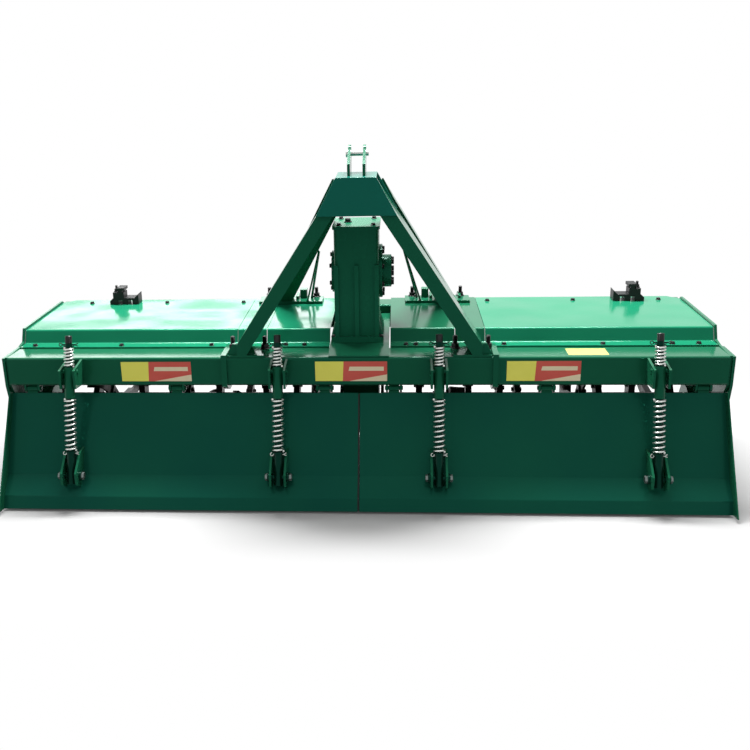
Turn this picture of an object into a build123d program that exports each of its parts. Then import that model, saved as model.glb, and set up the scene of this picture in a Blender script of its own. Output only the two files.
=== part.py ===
"""Rotary tiller for a tractor's three-point hitch, with its rotor driven at the centre.

Millimetres. +X is the machine's right-hand side seen from behind, +Y points forward to the
tractor and +Z points up. The ground is z = 0. Sizes are written from the rear beam's rear face
(y = 0) and the whole machine is then moved along Y so that the origin is under its middle.
"""
from build123d import *

import os
from math import cos, hypot, radians, sin, sqrt

# Overall size and plate thicknesses
HALF_WIDTH = 1350.0          # to the outer face of the beam's end caps
SIDE_PLATE = 10.0            # side plates and end caps
SHEET = 4.0                  # hood sheet
BEAM_WALL = 6.0
BEAM_CORNER = 10.0
RIB_PLATE = 10.0

# Rear and front cross beams
BEAM_TOP = 535.0
BEAM_HEIGHT = 110.0
BEAM_DEPTH = 131.0
FRONT_BEAM_Y = 590.0         # rear face of the front beam
FRONT_BEAM_DEPTH = 110.0
FRONT_BEAM_HEIGHT = 100.0
BEAM_JOINT_X = 500.0         # bolted joint between the centre section and the wings
JOINT_PLATE = 10.0
JOINT_PROUD = 14.0           # joint plates stand this far out of the beam
JOINT_TIP = 27.0             # their tips reach this far under it
JOINT_TIP_Y = (44.0, 70.0)
CAP_TIP = 64.0               # end caps' tips under the beam
CAP_TIP_Y = (14.0, 62.0)

# Hood over the rotor
HOOD_TOP = 584.0             # underside of the sheet
HOOD_FOOT_Y = 188.0          # where the rear flange turns up
HOOD_KNUCKLE_Y = 211.0       # where the rear face turns into the top
HOOD_BEND = 8.0
HOOD_LIP = 34.0              # fold over the front beam
HOOD_CORNER_CUT = 52.0
HOOD_END_GAP = 2.0
HOOD_BED_GAP = 4.0           # beside the gearbox bed
RAIL_LEG = 40.0
RAIL_WALL = 5.0
RAIL_SETBACK = 8.0           # behind the hood's foot
INNER_RIB_X = 352.0
OUTER_RIB_X = 478.0
SIDE_EDGE_RISE = 8.0         # side plate edge above the hood sheet
SIDE_REAR_Y = 8.0
SIDE_STEP = 6.0              # side plate edge behind the hood's folds
SIDE_NOSE = (50.0, 20.0)     # its front corner cut back, and down from the hood
SIDE_KNEE = (60.0, 330.0)
SIDE_HEEL = (30.0, 110.0)    # behind the skid, and above the ground
SIDE_TOE = (20.0, 90.0)      # in front of the skid, and above the ground

# Rotor
ROTOR_Y = 330.0
ROTOR_Z = 245.0
ROTOR_RADIUS = 236.0
ROTOR_TUBE_RADIUS = 36.5
ROTOR_STUB_RADIUS = 25.0
STUB_INSET = 2.0             # stub's end inside the side plate's outer face
STUB_ROOM = 4.0              # side plate's hole around the stub
DRIVE_SHAFT_RADIUS = 30.0
DRIVE_FLANGE_RADIUS = 72.0
DRIVE_FLANGE = 12.0
BEARING_RADIUS = 68.0
BEARING_LENGTH = 46.0
BEARING_CAP_RADIUS = 52.0
RUNNING_GAP = 0.3
CLEAR = 6.0                  # between moving pieces and what they pass
RIB_CLEAR = 26.0             # ribs above the path of the tines

# Tines
TINE_THICK = 9.0
TINE_BEND_RADIUS = 42.0
TINE_BEND_DEG = 78.0
TINE_TOE = 18.0
TINE_WIDTH = 46.0
TINE_SWEEP = 34.0            # how far the tip trails behind the root
TINE_ROOT = 46.0             # radius where the shank starts in its holder
TINE_FIRST_X = 150.0
TINE_PITCH = 40.0
TINE_END_GAP = 40.0          # from the last tine to the end of the rotor tube
TINE_STEP_DEG = 137.0
HOLDER_TOP = 92.0
HOLDER_WALL = 8.0

# Gearbox
GEARBOX_Y = 173.0            # rear face
GEARBOX_HALF_WIDTH = 84.0
GEARBOX_DEPTH = 208.0
GEARBOX_TOP = 977.0
GEARBOX_X = -10.0            # the gear case stands a little left of the middle
BED_THICK = 14.0
BED_NOSE = 6.0               # thickness at the bed's rear edge
BED_SLOPE = 24.0             # its slope ends this far behind the gear case
GEARBOX_FILLET = 14.0
GEARBOX_FOOT = 20.0
FOOT_HALF_WIDTH = 100.0
FOOT_PROUD = 20.0            # foot beyond the case's front and rear
SKIRT_RISE = 78.0            # where the case starts to flare out to its foot
COVER_THICK = 12.0
COVER_PROUD = 5.0
RIB_WIDTH = 16.0
RIB_HEIGHT = 14.0
RIB_TOP = 845.0
BED_HALF_WIDTH = 112.0
CASE_HALF_WIDTH = 70.0
CASE_RADIUS = 130.0
INPUT_Z = 800.0
INPUT_HOUSING_RADIUS = 66.0
INPUT_HOUSING_LENGTH = 62.0
INPUT_SHAFT_RADIUS = 17.4
INPUT_SHAFT_LENGTH = 88.0
INPUT_NECK = 6.0             # collar in front of the housing
INPUT_COLLAR = 4.0           # collar's radius over the shaft's
INPUT_FLANGE = 16.0
SPLINE_COUNT = 6
SPLINE_WIDTH = 8.7
SPLINE_DEPTH = 2.6
COVER_LEFT_RADIUS = 80.0
COVER_RIGHT_RADIUS = 102.0
COVER_BOSS_RADIUS = 62.0
COVER_BOSS = 34.0

# Mast and hitch
MAST_Y = 2.0                 # rear face of the legs
MAST_WALL = 6.0
LEG_FOOT_DEPTH = 126.0
LEG_HEAD_DEPTH = 158.0
LEG_WIDTH = 50.0
LEG_FOOT_X = 446.0           # leg centre line on the beam
LEG_HEAD_X = 31.0            # leg centre line at the cap's top
LEG_EDGE_X = 452.0           # outer edge of the foot, cut upright
FOOT_PLATE = 8.0
FOOT_PLATE_X = (346.0, 488.0)
FOOT_PLATE_EDGE = 2.0        # foot plate inside the beam's faces
GUSSET_Y = 12.0
GUSSET_PLATE = 10.0
GUSSET_HEIGHT = 42.0
GUSSET_TOP = 16.0
CAP_TOP = 1188.0
CAP_BOTTOM = 1054.0
CAP_TOP_HALF = 71.0
CAP_BOTTOM_HALF = 143.0
CAP_PLATE = 10.0
CLEVIS_GAP = 44.0
CLEVIS_PLATE = 10.0
CLEVIS_Y = 165.0
CLEVIS_REAR_Y = 44.0         # rear edge of the ears
CLEVIS_REAR_RISE = 40.0
CLEVIS_RISE = 66.0           # pin above the cap's top
CLEVIS_RADIUS = 30.0
CLEVIS_TURN = 53.0           # where the ear's rear edge meets its round end, degrees
TOP_PIN_RADIUS = 9.5
TOP_PIN_END = 9.0
TOP_PIN_HEAD = 14.0          # radius of the pin's head
STRUT_WIDTH = 84.0           # front legs, across
STRUT_RISE = 76.0            # front legs, upright through their depth
STRUT_HEAD_X = 51.0          # leg centre line at the cap
STRUT_HEAD_DROP = 100.0      # underside at the cap, below the cap's top
STRUT_FOOT_X = 348.0
STRUT_FOOT_Y = 600.0         # underside at the hitch bracket
BRACE_HEAD = (428.0, 850.0)  # y, z on the front leg
BRACE_HEAD_X = 174.0
BRACE_DEPTH = 24.0
BRACES = ((240.0, 612.0, 7.0), (227.0, 676.0, 9.0))      # foot x, foot y, thickness
HITCH_SPREAD = 825.0         # between the shoulders of the lower hitch pins
HITCH_PLATE = 12.0
HITCH_PIN_RADIUS = 14.0
HITCH_SHANK_RADIUS = 18.0    # of the pin inside its bracket
HITCH_PIN_FREE = 128.0
HITCH_Y = 778.0
HITCH_Z = 548.0
HITCH_EYE_RADIUS = 36.0
HITCH_INNER_X = 280.0
HITCH_FIN = 14.0             # plates above the base plate
HITCH_FIN_LENGTH = 60.0
HITCH_HEM = 20.0             # foot of the plates, along Y
HITCH_FRONT_GAP = 6.0
BASE_PLATE = 12.0
BASE_EDGE = 8.0              # base plate inside the front beam's faces
BASE_X = (176.0, 449.0)
STOP_X = (246.0, 276.0)      # stop block on the base plate
STOP_LENGTH = 38.0
STOP_HEIGHT = 38.0
CLAMP_LEFT_INSET = 287.0     # clamps' middles from the side plates
CLAMP_RIGHT_INSET = 221.0
CLAMP_DEPTH = 60.0
CLAMP_HALF = 64.0
CLAMP_GAP_INNER = (-35.0, -16.0)     # gaps between the feet
CLAMP_GAP_OUTER = (9.0, 26.0)
CLAMP_ARCH = 18.0
CLAMP_BAR = 28.0             # top of the cross bar
CLAMP_BLOCK = (0.0, 48.0)
CLAMP_BLOCK_TOP = 52.0
CLAMP_NECK = (6.0, 22.0)
CLAMP_NECK_TOP = 60.0
CLAMP_HEAD = (-4.0, 30.0)
CLAMP_HEAD_TOP = 72.0
CLAMP_FIN = (18.0, 46.0)     # length and height of the fin at its inner end
CLAMP_TOE = 14.0

# Side skids
SKID_WIDTH = 50.0
SKID_THICK = 8.0
SKID_REAR_Y = 160.0
SKID_FRONT_Y = 510.0
SKID_RISE = 70.0
SKID_BEND = 30.0
SKID_REAR_RUN = 40.0
SKID_REAR_RISE = 42.0
SKID_FRONT_RUN = 52.0

# Trailing boards and their hinges
HINGE_Y = 35.0
HINGE_Z = 405.0
HINGE_PIN_RADIUS = 8.0
HINGE_INNER_X = 130.0
HINGE_FROM_END = 79.0        # outer hinge from the board's end
KNUCKLE_RADIUS = 15.0
KNUCKLE_LENGTH = 40.0
LUG_PLATE = 8.0
LUG_RADIUS = 16.0
LUG_GAP = 2.0
BOARD_SHEET = 5.0
BOARD_BEND = 8.0
BOARD_TOP = (17.0, 391.0)
BOARD_FOLD = (-126.0, 116.0)
BOARD_HEEL = (-184.0, 52.0)
BOARD_FOOT = (-202.0, 8.0)
BOARD_INNER_X = 3.0
BOARD_END_GAP = 16.0         # board's end inside the end cap's face
STRAP_THICK = 8.0
STRAP_LENGTH = 60.0
STRAP_RISE = 20.0
LUG_TOP = 205.0              # rod lugs down the board's panel
LUG_BOTTOM = 296.0
LUG_SHOULDER = (35.0, 78.0)  # from the foot pin, forward and up
LUG_NOSE = (35.0, 22.0)      # half depth and half height of the lugs' end
LUG_CHIN = (3.0, 46.0)       # from the foot pin, forward and down
END_FLANGE_TOP = 30.0
END_FLANGE_FOOT = 46.0
END_FLANGE_LIFT = 6.0
HINGE_PIN_END = 4.0

# Spring rods that hold the boards down
ROD_INNER_X = 293.0
ROD_FROM_END = 264.0         # outer rod from the board's end
PIVOT_Y = -65.0              # cross pins of the guide sleeve
PIVOT_Z = 503.0
FOOT_PIN_Y = -165.0          # bolt through the board's lugs
FOOT_PIN_Z = 128.0
ROD_RADIUS = 12.0
ROD_TOP = 131.0              # along the rod, from the cross pins
SLEEVE_RADIUS = 19.0
SLEEVE_TOP = 16.0
SLEEVE_LENGTH = 114.0
SLIDE_GAP = 0.5
TRUNNION_RADIUS = 8.0
EAR_PLATE = 8.0
EAR_GAP = 46.0
EAR_DEPTH = 100.0
EAR_BOTTOM = 447.0
EAR_DROP = 14.0
EAR_TOP_EDGE = 4.0           # ears below the beam's top
EAR_BOTTOM_EDGE = 12.0       # and above its bottom
TRUNNION_END = 3.0
UPPER_SPRING_LENGTH = 76.0
UPPER_SPRING_RADIUS = 20.0
MAIN_SPRING_LENGTH = 197.0
MAIN_SPRING_RADIUS = 23.0
SPRING_WIRE = 7.0
SEAT_GAP = 0.3
WASHER_THICK = 4.0
COTTER_HALF = 26.0
COTTER_RADIUS = 3.0
COTTER_GAP = 1.0             # over the washer
ROD_TUBE_RADIUS = 16.0
ROD_TUBE_END = 30.0          # past the foot pin
FOOT_PIN_RADIUS = 8.0
FOOT_HOLE_RADIUS = 13.0      # room for the open pivot
FOOT_HEAD_RADIUS = 17.0
FOOT_HEAD = 9.0

BEAM_BOTTOM = BEAM_TOP - BEAM_HEIGHT
SIDE_INNER_X = HALF_WIDTH - 2 * SIDE_PLATE
SIDE_OUTER_X = HALF_WIDTH - SIDE_PLATE
FRONT_BEAM_END = FRONT_BEAM_Y + FRONT_BEAM_DEPTH
GEARBOX_BASE = BEAM_TOP + BED_THICK
CLEVIS_Z = CAP_TOP + CLEVIS_RISE
STRUT_HEAD_Z = CAP_TOP - STRUT_HEAD_DROP
BASE_TOP = HOOD_TOP + SHEET + BASE_PLATE
CAP_FRONT = MAST_Y + LEG_HEAD_DEPTH + CAP_PLATE
BOARD_OUTER_X = HALF_WIDTH - BOARD_END_GAP
HINGE_OUTER_X = BOARD_OUTER_X - HINGE_FROM_END
HINGE_X = (HINGE_INNER_X, (HINGE_INNER_X + HINGE_OUTER_X) / 2, HINGE_OUTER_X)
ROD_X = (ROD_INNER_X, BOARD_OUTER_X - ROD_FROM_END)
ROTOR_TUBE_START = CASE_HALF_WIDTH + CLEAR
ROTOR_TUBE_END = SIDE_INNER_X - BEARING_LENGTH - CLEAR
TINE_COUNT = 1 + int((ROTOR_TUBE_END - TINE_END_GAP - TINE_FIRST_X) // TINE_PITCH)
MACHINE_REAR = BOARD_FOOT[0] - END_FLANGE_FOOT
MACHINE_FRONT = HITCH_Y + HITCH_EYE_RADIUS
FRAME_SHIFT = -(MACHINE_REAR + MACHINE_FRONT) / 2


def block(x0, x1, y0, y1, z0, z1):
    """Box between two corners."""
    centre = Pos((x0 + x1) / 2, (y0 + y1) / 2, (z0 + z1) / 2)
    return centre * Box(x1 - x0, y1 - y0, z1 - z0)


def side_profile(points, x0, x1):
    """Plate of a (y, z) outline between two places along X."""
    face = make_face(Polyline(*points, close=True))
    return extrude(Plane.YZ.offset(x0) * face, x1 - x0)


def bent_sheet(points, thickness, bend, x0, x1):
    """Folded sheet whose middle follows (y, z) points, between two places along X."""
    line = FilletPolyline(*points, radius=bend)
    return extrude(Plane.YZ.offset(x0) * trace(line, thickness), x1 - x0)


def leaning_slab(foot_x, head_x, foot_z, head_z, half, y0, y1):
    """Slab between two places along Y whose (x, z) outline leans from its foot to its head."""
    face = make_face(Polyline(
        (foot_x - half, foot_z),
        (foot_x + half, foot_z),
        (head_x + half, head_z),
        (head_x - half, head_z),
        close=True))
    return extrude(Plane.XZ.offset(-y0) * face, y0 - y1)


def front_profile(points, y0, y1):
    """Plate of an (x, z) outline between two places along Y."""
    face = make_face(Polyline(*points, close=True))
    return extrude(Plane.XZ.offset(-y0) * face, y0 - y1)


def rod_x(x0, x1, y, z, radius):
    """Round bar along X."""
    return Pos((x0 + x1) / 2, y, z) * Rot(0, 90, 0) * Cylinder(radius, x1 - x0)


def rod_y(y0, y1, x, z, radius):
    """Round bar along Y."""
    return Pos(x, (y0 + y1) / 2, z) * Rot(90, 0, 0) * Cylinder(radius, y1 - y0)


def other_side(shape):
    """Mirror image on the left-hand side."""
    return mirror(shape, about=Plane.YZ)


def save(name, *solids):
    """Write one node, moved so that the origin is under the machine's middle."""
    node = Compound(children=[Pos(0, FRAME_SHIFT, 0) * solid for solid in each_solid(solids)])
    node.label = name
    export_step(node, f"parts/{name}.step")


def each_solid(shapes):
    """Every solid of the shapes, each by itself."""
    return [solid for shape in shapes for solid in shape.solids()]


def beam_tube(x0, x1, y0, depth, top, height):
    """Hollow rectangular beam along X with rounded corners."""
    outer = RectangleRounded(depth, height, BEAM_CORNER)
    inner = RectangleRounded(depth - 2 * BEAM_WALL, height - 2 * BEAM_WALL, BEAM_CORNER - BEAM_WALL)
    middle = Pos(y0 + depth / 2, top - height / 2)
    return extrude(Plane.YZ.offset(x0) * (middle * (outer - inner)), x1 - x0)


def rear_beam():
    """Centre section and right-hand wing, each ending in a joint plate drawn down to a tip."""
    inner_x = BEAM_JOINT_X - JOINT_PLATE
    outline = [
        (-JOINT_PROUD, BEAM_TOP + JOINT_PROUD),
        (BEAM_DEPTH, BEAM_TOP + JOINT_PROUD),
        (BEAM_DEPTH, BEAM_BOTTOM),
        (JOINT_TIP_Y[1], BEAM_BOTTOM - JOINT_TIP),
        (JOINT_TIP_Y[0], BEAM_BOTTOM - JOINT_TIP),
        (-JOINT_PROUD, BEAM_BOTTOM),
    ]
    plate = side_profile(outline, inner_x, BEAM_JOINT_X)
    centre = beam_tube(-inner_x, inner_x, 0, BEAM_DEPTH, BEAM_TOP, BEAM_HEIGHT) + plate + other_side(plate)
    wing = beam_tube(BEAM_JOINT_X, SIDE_INNER_X, 0, BEAM_DEPTH, BEAM_TOP, BEAM_HEIGHT)
    wing += Pos(JOINT_PLATE, 0, 0) * plate
    return centre, wing


def front_beam():
    """Front cross beam under the hood's front edge."""
    end = SIDE_INNER_X
    return beam_tube(-end, end, FRONT_BEAM_Y, FRONT_BEAM_DEPTH, HOOD_TOP, FRONT_BEAM_HEIGHT)


def side_plate():
    """Right-hand side plate: it closes the rotor's chamber and stands on the skid."""
    edge = HOOD_TOP + SHEET + SIDE_EDGE_RISE
    outline = [
        (SIDE_REAR_Y, BEAM_BOTTOM),
        (SIDE_REAR_Y, BEAM_TOP),
        (BEAM_DEPTH + SIDE_STEP, BEAM_TOP + SHEET),
        (HOOD_FOOT_Y - SIDE_STEP, BEAM_TOP + SHEET + SIDE_EDGE_RISE),
        (HOOD_KNUCKLE_Y - SIDE_STEP, edge),
        (FRONT_BEAM_END - SIDE_NOSE[0], edge),
        (FRONT_BEAM_END, HOOD_TOP - SIDE_NOSE[1]),
        (FRONT_BEAM_END, HOOD_TOP - FRONT_BEAM_HEIGHT),
        (SKID_FRONT_Y + SIDE_TOE[0], ROTOR_Z),
        (SKID_FRONT_Y + SIDE_TOE[0], SIDE_TOE[1]),
        (SKID_FRONT_Y - SIDE_TOE[0], SKID_THICK),
        (SKID_REAR_Y + SIDE_TOE[0], SKID_THICK),
        (SKID_REAR_Y - SIDE_HEEL[0], SIDE_HEEL[1]),
        SIDE_KNEE,
    ]
    plate = side_profile(outline, SIDE_INNER_X, SIDE_OUTER_X)
    bore = rod_x(SIDE_INNER_X - 1, SIDE_OUTER_X + 1, ROTOR_Y, ROTOR_Z, ROTOR_STUB_RADIUS + STUB_ROOM)
    return plate - bore


def end_cap():
    """Cap on the right-hand end of the rear beam, drawn down to a blunt tip."""
    outline = [
        (0, BEAM_TOP),
        (BEAM_DEPTH, BEAM_TOP),
        (BEAM_DEPTH, BEAM_BOTTOM),
        (CAP_TIP_Y[1], BEAM_BOTTOM - CAP_TIP),
        (CAP_TIP_Y[0], BEAM_BOTTOM - CAP_TIP),
        (0, BEAM_BOTTOM),
    ]
    return side_profile(outline, SIDE_OUTER_X, HALF_WIDTH)


def skid():
    """Runner under the right-hand side plate, turned up at both ends."""
    middle = SKID_THICK / 2
    line = [
        (SKID_REAR_Y - SKID_REAR_RUN, middle + SKID_REAR_RISE),
        (SKID_REAR_Y, middle),
        (SKID_FRONT_Y, middle),
        (SKID_FRONT_Y + SKID_FRONT_RUN, middle + SKID_RISE),
    ]
    return bent_sheet(line, SKID_THICK, SKID_BEND, HALF_WIDTH - SKID_WIDTH, HALF_WIDTH)


def frame_ribs():
    """Upright plates that join the two cross beams beside the mast's feet."""
    outline = [
        (BEAM_DEPTH, BEAM_BOTTOM),
        (BEAM_DEPTH, BEAM_TOP),
        (HOOD_FOOT_Y + 1.5 * SHEET, BEAM_TOP),
        (HOOD_KNUCKLE_Y + 1.5 * SHEET, HOOD_TOP),
        (FRONT_BEAM_Y, HOOD_TOP),
        (FRONT_BEAM_Y, HOOD_TOP - FRONT_BEAM_HEIGHT),
    ]
    ribs = []
    for x in (INNER_RIB_X, OUTER_RIB_X):
        rib = side_profile(outline, x, x + RIB_PLATE)
        rib -= rod_x(x - 1, x + RIB_PLATE + 1, ROTOR_Y, ROTOR_Z, ROTOR_RADIUS + RIB_CLEAR)
        ribs += [rib, other_side(rib)]
    return ribs


def hood_line(front):
    """Middle of the hood sheet from its rear flange to the given front edge."""
    half = SHEET / 2
    return [
        (BEAM_DEPTH + HOOD_END_GAP, BEAM_TOP + half),
        (HOOD_FOOT_Y, BEAM_TOP + half),
        (HOOD_KNUCKLE_Y, HOOD_TOP + half),
        (front, HOOD_TOP + half),
    ]


def hood_outer():
    """Right-hand hood panel, folded down over the front beam."""
    half = SHEET / 2
    line = hood_line(FRONT_BEAM_END + half)
    line.append((FRONT_BEAM_END + half, HOOD_TOP - HOOD_LIP))
    x1 = SIDE_INNER_X - HOOD_END_GAP
    panel = bent_sheet(line, SHEET, HOOD_BEND, OUTER_RIB_X, x1)
    corner = make_face(Polyline(
        (x1 - HOOD_CORNER_CUT, FRONT_BEAM_END + SHEET),
        (x1, FRONT_BEAM_END + SHEET),
        (x1, FRONT_BEAM_END - HOOD_CORNER_CUT),
        close=True))
    return panel - Pos(0, 0, HOOD_TOP - HOOD_LIP) * extrude(corner, HOOD_LIP + 2 * SHEET)


def hood_inner():
    """Right-hand inner panel beside the gearbox, and the strip beside the mast's foot."""
    line = hood_line(FRONT_BEAM_END)
    panel = bent_sheet(line, SHEET, HOOD_BEND, BED_HALF_WIDTH + HOOD_BED_GAP, INNER_RIB_X + RIB_PLATE)
    strip_end = OUTER_RIB_X - HOOD_END_GAP
    strip = bent_sheet(line, SHEET, HOOD_BEND, INNER_RIB_X + RIB_PLATE + HOOD_END_GAP, strip_end)
    return [panel, strip]


def hood_rails():
    """Angle bars under the hood's rear flange, along the rear beam."""
    rails = []
    for x0, x1 in ((BED_HALF_WIDTH + HOOD_BED_GAP, INNER_RIB_X), (OUTER_RIB_X + RIB_PLATE, SIDE_INNER_X)):
        rail = block(x0, x1, BEAM_DEPTH, HOOD_FOOT_Y - RAIL_SETBACK, BEAM_TOP - RAIL_WALL, BEAM_TOP)
        rail += block(x0, x1, BEAM_DEPTH, BEAM_DEPTH + RAIL_WALL, BEAM_TOP - RAIL_LEG, BEAM_TOP)
        rails += [rail, other_side(rail)]
    return rails


def gearbox_case():
    """Upper gear case with ribs down its rear face, flared out to its foot."""
    middle = Pos(GEARBOX_X, GEARBOX_Y + GEARBOX_DEPTH / 2, GEARBOX_BASE)
    outline = RectangleRounded(2 * GEARBOX_HALF_WIDTH, GEARBOX_DEPTH, GEARBOX_FILLET)
    case = middle * extrude(outline, GEARBOX_TOP - GEARBOX_BASE)
    edge = GEARBOX_HALF_WIDTH - RIB_WIDTH / 2
    for x in (GEARBOX_X - edge, GEARBOX_X, GEARBOX_X + edge):
        rear = GEARBOX_Y - RIB_HEIGHT
        front = GEARBOX_Y + GEARBOX_FILLET
        case += block(x - RIB_WIDTH / 2, x + RIB_WIDTH / 2, rear, front, GEARBOX_BASE, RIB_TOP)
    foot = RectangleRounded(2 * FOOT_HALF_WIDTH, GEARBOX_DEPTH + 2 * FOOT_PROUD, GEARBOX_FILLET)
    case += middle * extrude(foot, GEARBOX_FOOT)
    skirt_top = RectangleRounded(2 * GEARBOX_HALF_WIDTH, GEARBOX_DEPTH - 2 * GEARBOX_FILLET, GEARBOX_FILLET)
    skirt_foot = RectangleRounded(2 * FOOT_HALF_WIDTH, GEARBOX_DEPTH - 2 * GEARBOX_FILLET, GEARBOX_FILLET)
    case += middle * loft([Pos(0, 0, GEARBOX_FOOT) * skirt_foot, Pos(0, 0, SKIRT_RISE) * skirt_top])
    return case


def gearbox_cover():
    """Lid on top of the gear case."""
    outline = RectangleRounded(
        2 * (GEARBOX_HALF_WIDTH + COVER_PROUD), GEARBOX_DEPTH + 2 * COVER_PROUD, GEARBOX_FILLET)
    return Pos(GEARBOX_X, GEARBOX_Y + GEARBOX_DEPTH / 2, GEARBOX_TOP) * extrude(outline, COVER_THICK)


def gearbox_bed():
    """Bed that carries the gearbox from the rear beam to the front beam."""
    outline = [
        (MAST_Y, BEAM_TOP),
        (FRONT_BEAM_Y, BEAM_TOP),
        (FRONT_BEAM_Y, GEARBOX_BASE),
        (GEARBOX_Y - BED_SLOPE, GEARBOX_BASE),
        (MAST_Y, BEAM_TOP + BED_NOSE),
    ]
    return side_profile(outline, -BED_HALF_WIDTH, BED_HALF_WIDTH)


def final_drive_case():
    """Narrow case that takes the drive down to the rotor."""
    case = block(-CASE_HALF_WIDTH, CASE_HALF_WIDTH, ROTOR_Y - CASE_RADIUS, ROTOR_Y + CASE_RADIUS,
                 ROTOR_Z, BEAM_TOP)
    case += rod_x(-CASE_HALF_WIDTH, CASE_HALF_WIDTH, ROTOR_Y, ROTOR_Z, CASE_RADIUS)
    bore = rod_x(-CASE_HALF_WIDTH - 1, CASE_HALF_WIDTH + 1, ROTOR_Y, ROTOR_Z,
                 DRIVE_SHAFT_RADIUS + RUNNING_GAP)
    return case - bore


def bearing_covers():
    """Round covers on both sides of the gear case."""
    y = GEARBOX_Y + GEARBOX_DEPTH / 2
    left_x = GEARBOX_X - GEARBOX_HALF_WIDTH
    right_x = GEARBOX_X + GEARBOX_HALF_WIDTH
    boss_x = right_x + COVER_THICK
    left = rod_x(left_x - COVER_THICK, left_x, y, INPUT_Z, COVER_LEFT_RADIUS)
    right = rod_x(right_x, boss_x, y, INPUT_Z, COVER_RIGHT_RADIUS)
    right += rod_x(boss_x, boss_x + COVER_BOSS, y, INPUT_Z, COVER_BOSS_RADIUS)
    return left, right


def input_drive():
    """Bearing housing on the front of the gear case and the splined shaft in it."""
    front = GEARBOX_Y + GEARBOX_DEPTH
    mouth = front + INPUT_HOUSING_LENGTH
    neck = mouth + INPUT_NECK
    tip = mouth + INPUT_SHAFT_LENGTH
    collar = INPUT_SHAFT_RADIUS + INPUT_COLLAR
    housing = rod_y(front, front + COVER_THICK, GEARBOX_X, INPUT_Z, INPUT_HOUSING_RADIUS + INPUT_FLANGE)
    housing += rod_y(front, mouth, GEARBOX_X, INPUT_Z, INPUT_HOUSING_RADIUS)
    housing -= rod_y(front, mouth + 1, GEARBOX_X, INPUT_Z, collar + RUNNING_GAP)
    shaft = rod_y(front + RUNNING_GAP, neck, GEARBOX_X, INPUT_Z, collar)
    shaft += rod_y(neck, tip, GEARBOX_X, INPUT_Z, INPUT_SHAFT_RADIUS)
    groove = block(-SPLINE_WIDTH / 2, SPLINE_WIDTH / 2, neck + INPUT_NECK, tip + 1,
                   INPUT_SHAFT_RADIUS - SPLINE_DEPTH, INPUT_SHAFT_RADIUS + 1)
    for index in range(SPLINE_COUNT):
        turn = Pos(GEARBOX_X, 0, INPUT_Z) * Rot(0, index * 360 / SPLINE_COUNT, 0)
        shaft -= turn * groove
    return housing, shaft


def mast_leg():
    """Right-hand mast leg: a folded channel, deeper at its head, with its foot plate and gusset."""
    foot_z = BEAM_TOP + FOOT_PLATE
    head_z = CAP_TOP - CAP_PLATE
    slant = hypot(LEG_FOOT_X - LEG_HEAD_X, head_z - foot_z) / (head_z - foot_z)
    line = (LEG_FOOT_X, LEG_HEAD_X, foot_z, head_z)
    half = LEG_WIDTH / 2 * slant
    front = MAST_Y + LEG_HEAD_DEPTH
    leg = leaning_slab(*line, half, MAST_Y, front)
    leg -= leaning_slab(*line, half - MAST_WALL * slant, MAST_Y + MAST_WALL, front + 1)
    leg &= side_profile([
        (MAST_Y, foot_z),
        (MAST_Y + LEG_FOOT_DEPTH, foot_z),
        (front, head_z),
        (MAST_Y, head_z),
    ], RUNNING_GAP, LEG_EDGE_X)
    foot = block(*FOOT_PLATE_X, FOOT_PLATE_EDGE, BEAM_DEPTH - FOOT_PLATE_EDGE, BEAM_TOP, foot_z)
    gusset = front_profile([
        (LEG_EDGE_X, foot_z),
        (FOOT_PLATE_X[1], foot_z),
        (LEG_EDGE_X + GUSSET_TOP, foot_z + GUSSET_HEIGHT),
        (LEG_EDGE_X, foot_z + GUSSET_HEIGHT),
    ], GUSSET_Y, GUSSET_Y + GUSSET_PLATE)
    return leg + foot + gusset


def mast_cap():
    """Cap of the mast: rear plate, top and front plate folded over the two legs."""
    outline = [
        (-CAP_BOTTOM_HALF, CAP_BOTTOM),
        (CAP_BOTTOM_HALF, CAP_BOTTOM),
        (CAP_TOP_HALF, CAP_TOP),
        (-CAP_TOP_HALF, CAP_TOP),
    ]
    cap = front_profile(outline, MAST_Y - CAP_PLATE, MAST_Y)
    cap += front_profile(outline, CAP_FRONT - CAP_PLATE, CAP_FRONT)
    rear = MAST_Y - CAP_PLATE
    return cap + block(-CAP_TOP_HALF, CAP_TOP_HALF, rear, CAP_FRONT, CAP_TOP - CAP_PLATE, CAP_TOP)


def clevis():
    """Two ears for the tractor's top link, and the pin across them."""
    inner = CLEVIS_GAP / 2
    outer = inner + CLEVIS_PLATE
    turn = radians(CLEVIS_TURN)
    ear = side_profile([
        (CLEVIS_REAR_Y, CAP_TOP),
        (CAP_FRONT, CAP_TOP),
        (CLEVIS_Y + CLEVIS_RADIUS, CLEVIS_Z),
        (CLEVIS_Y - CLEVIS_RADIUS * sin(turn), CLEVIS_Z + CLEVIS_RADIUS * cos(turn)),
        (CLEVIS_REAR_Y, CAP_TOP + CLEVIS_REAR_RISE),
    ], inner, outer)
    ear += rod_x(inner, outer, CLEVIS_Y, CLEVIS_Z, CLEVIS_RADIUS)
    ear -= rod_x(inner - 1, outer + 1, CLEVIS_Y, CLEVIS_Z, TOP_PIN_RADIUS + SLIDE_GAP)
    reach = outer + TOP_PIN_END
    pin = rod_x(-reach, reach, CLEVIS_Y, CLEVIS_Z, TOP_PIN_RADIUS)
    pin += rod_x(-reach, -outer - RUNNING_GAP, CLEVIS_Y, CLEVIS_Z, TOP_PIN_HEAD)
    return [ear, other_side(ear)], pin


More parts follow.
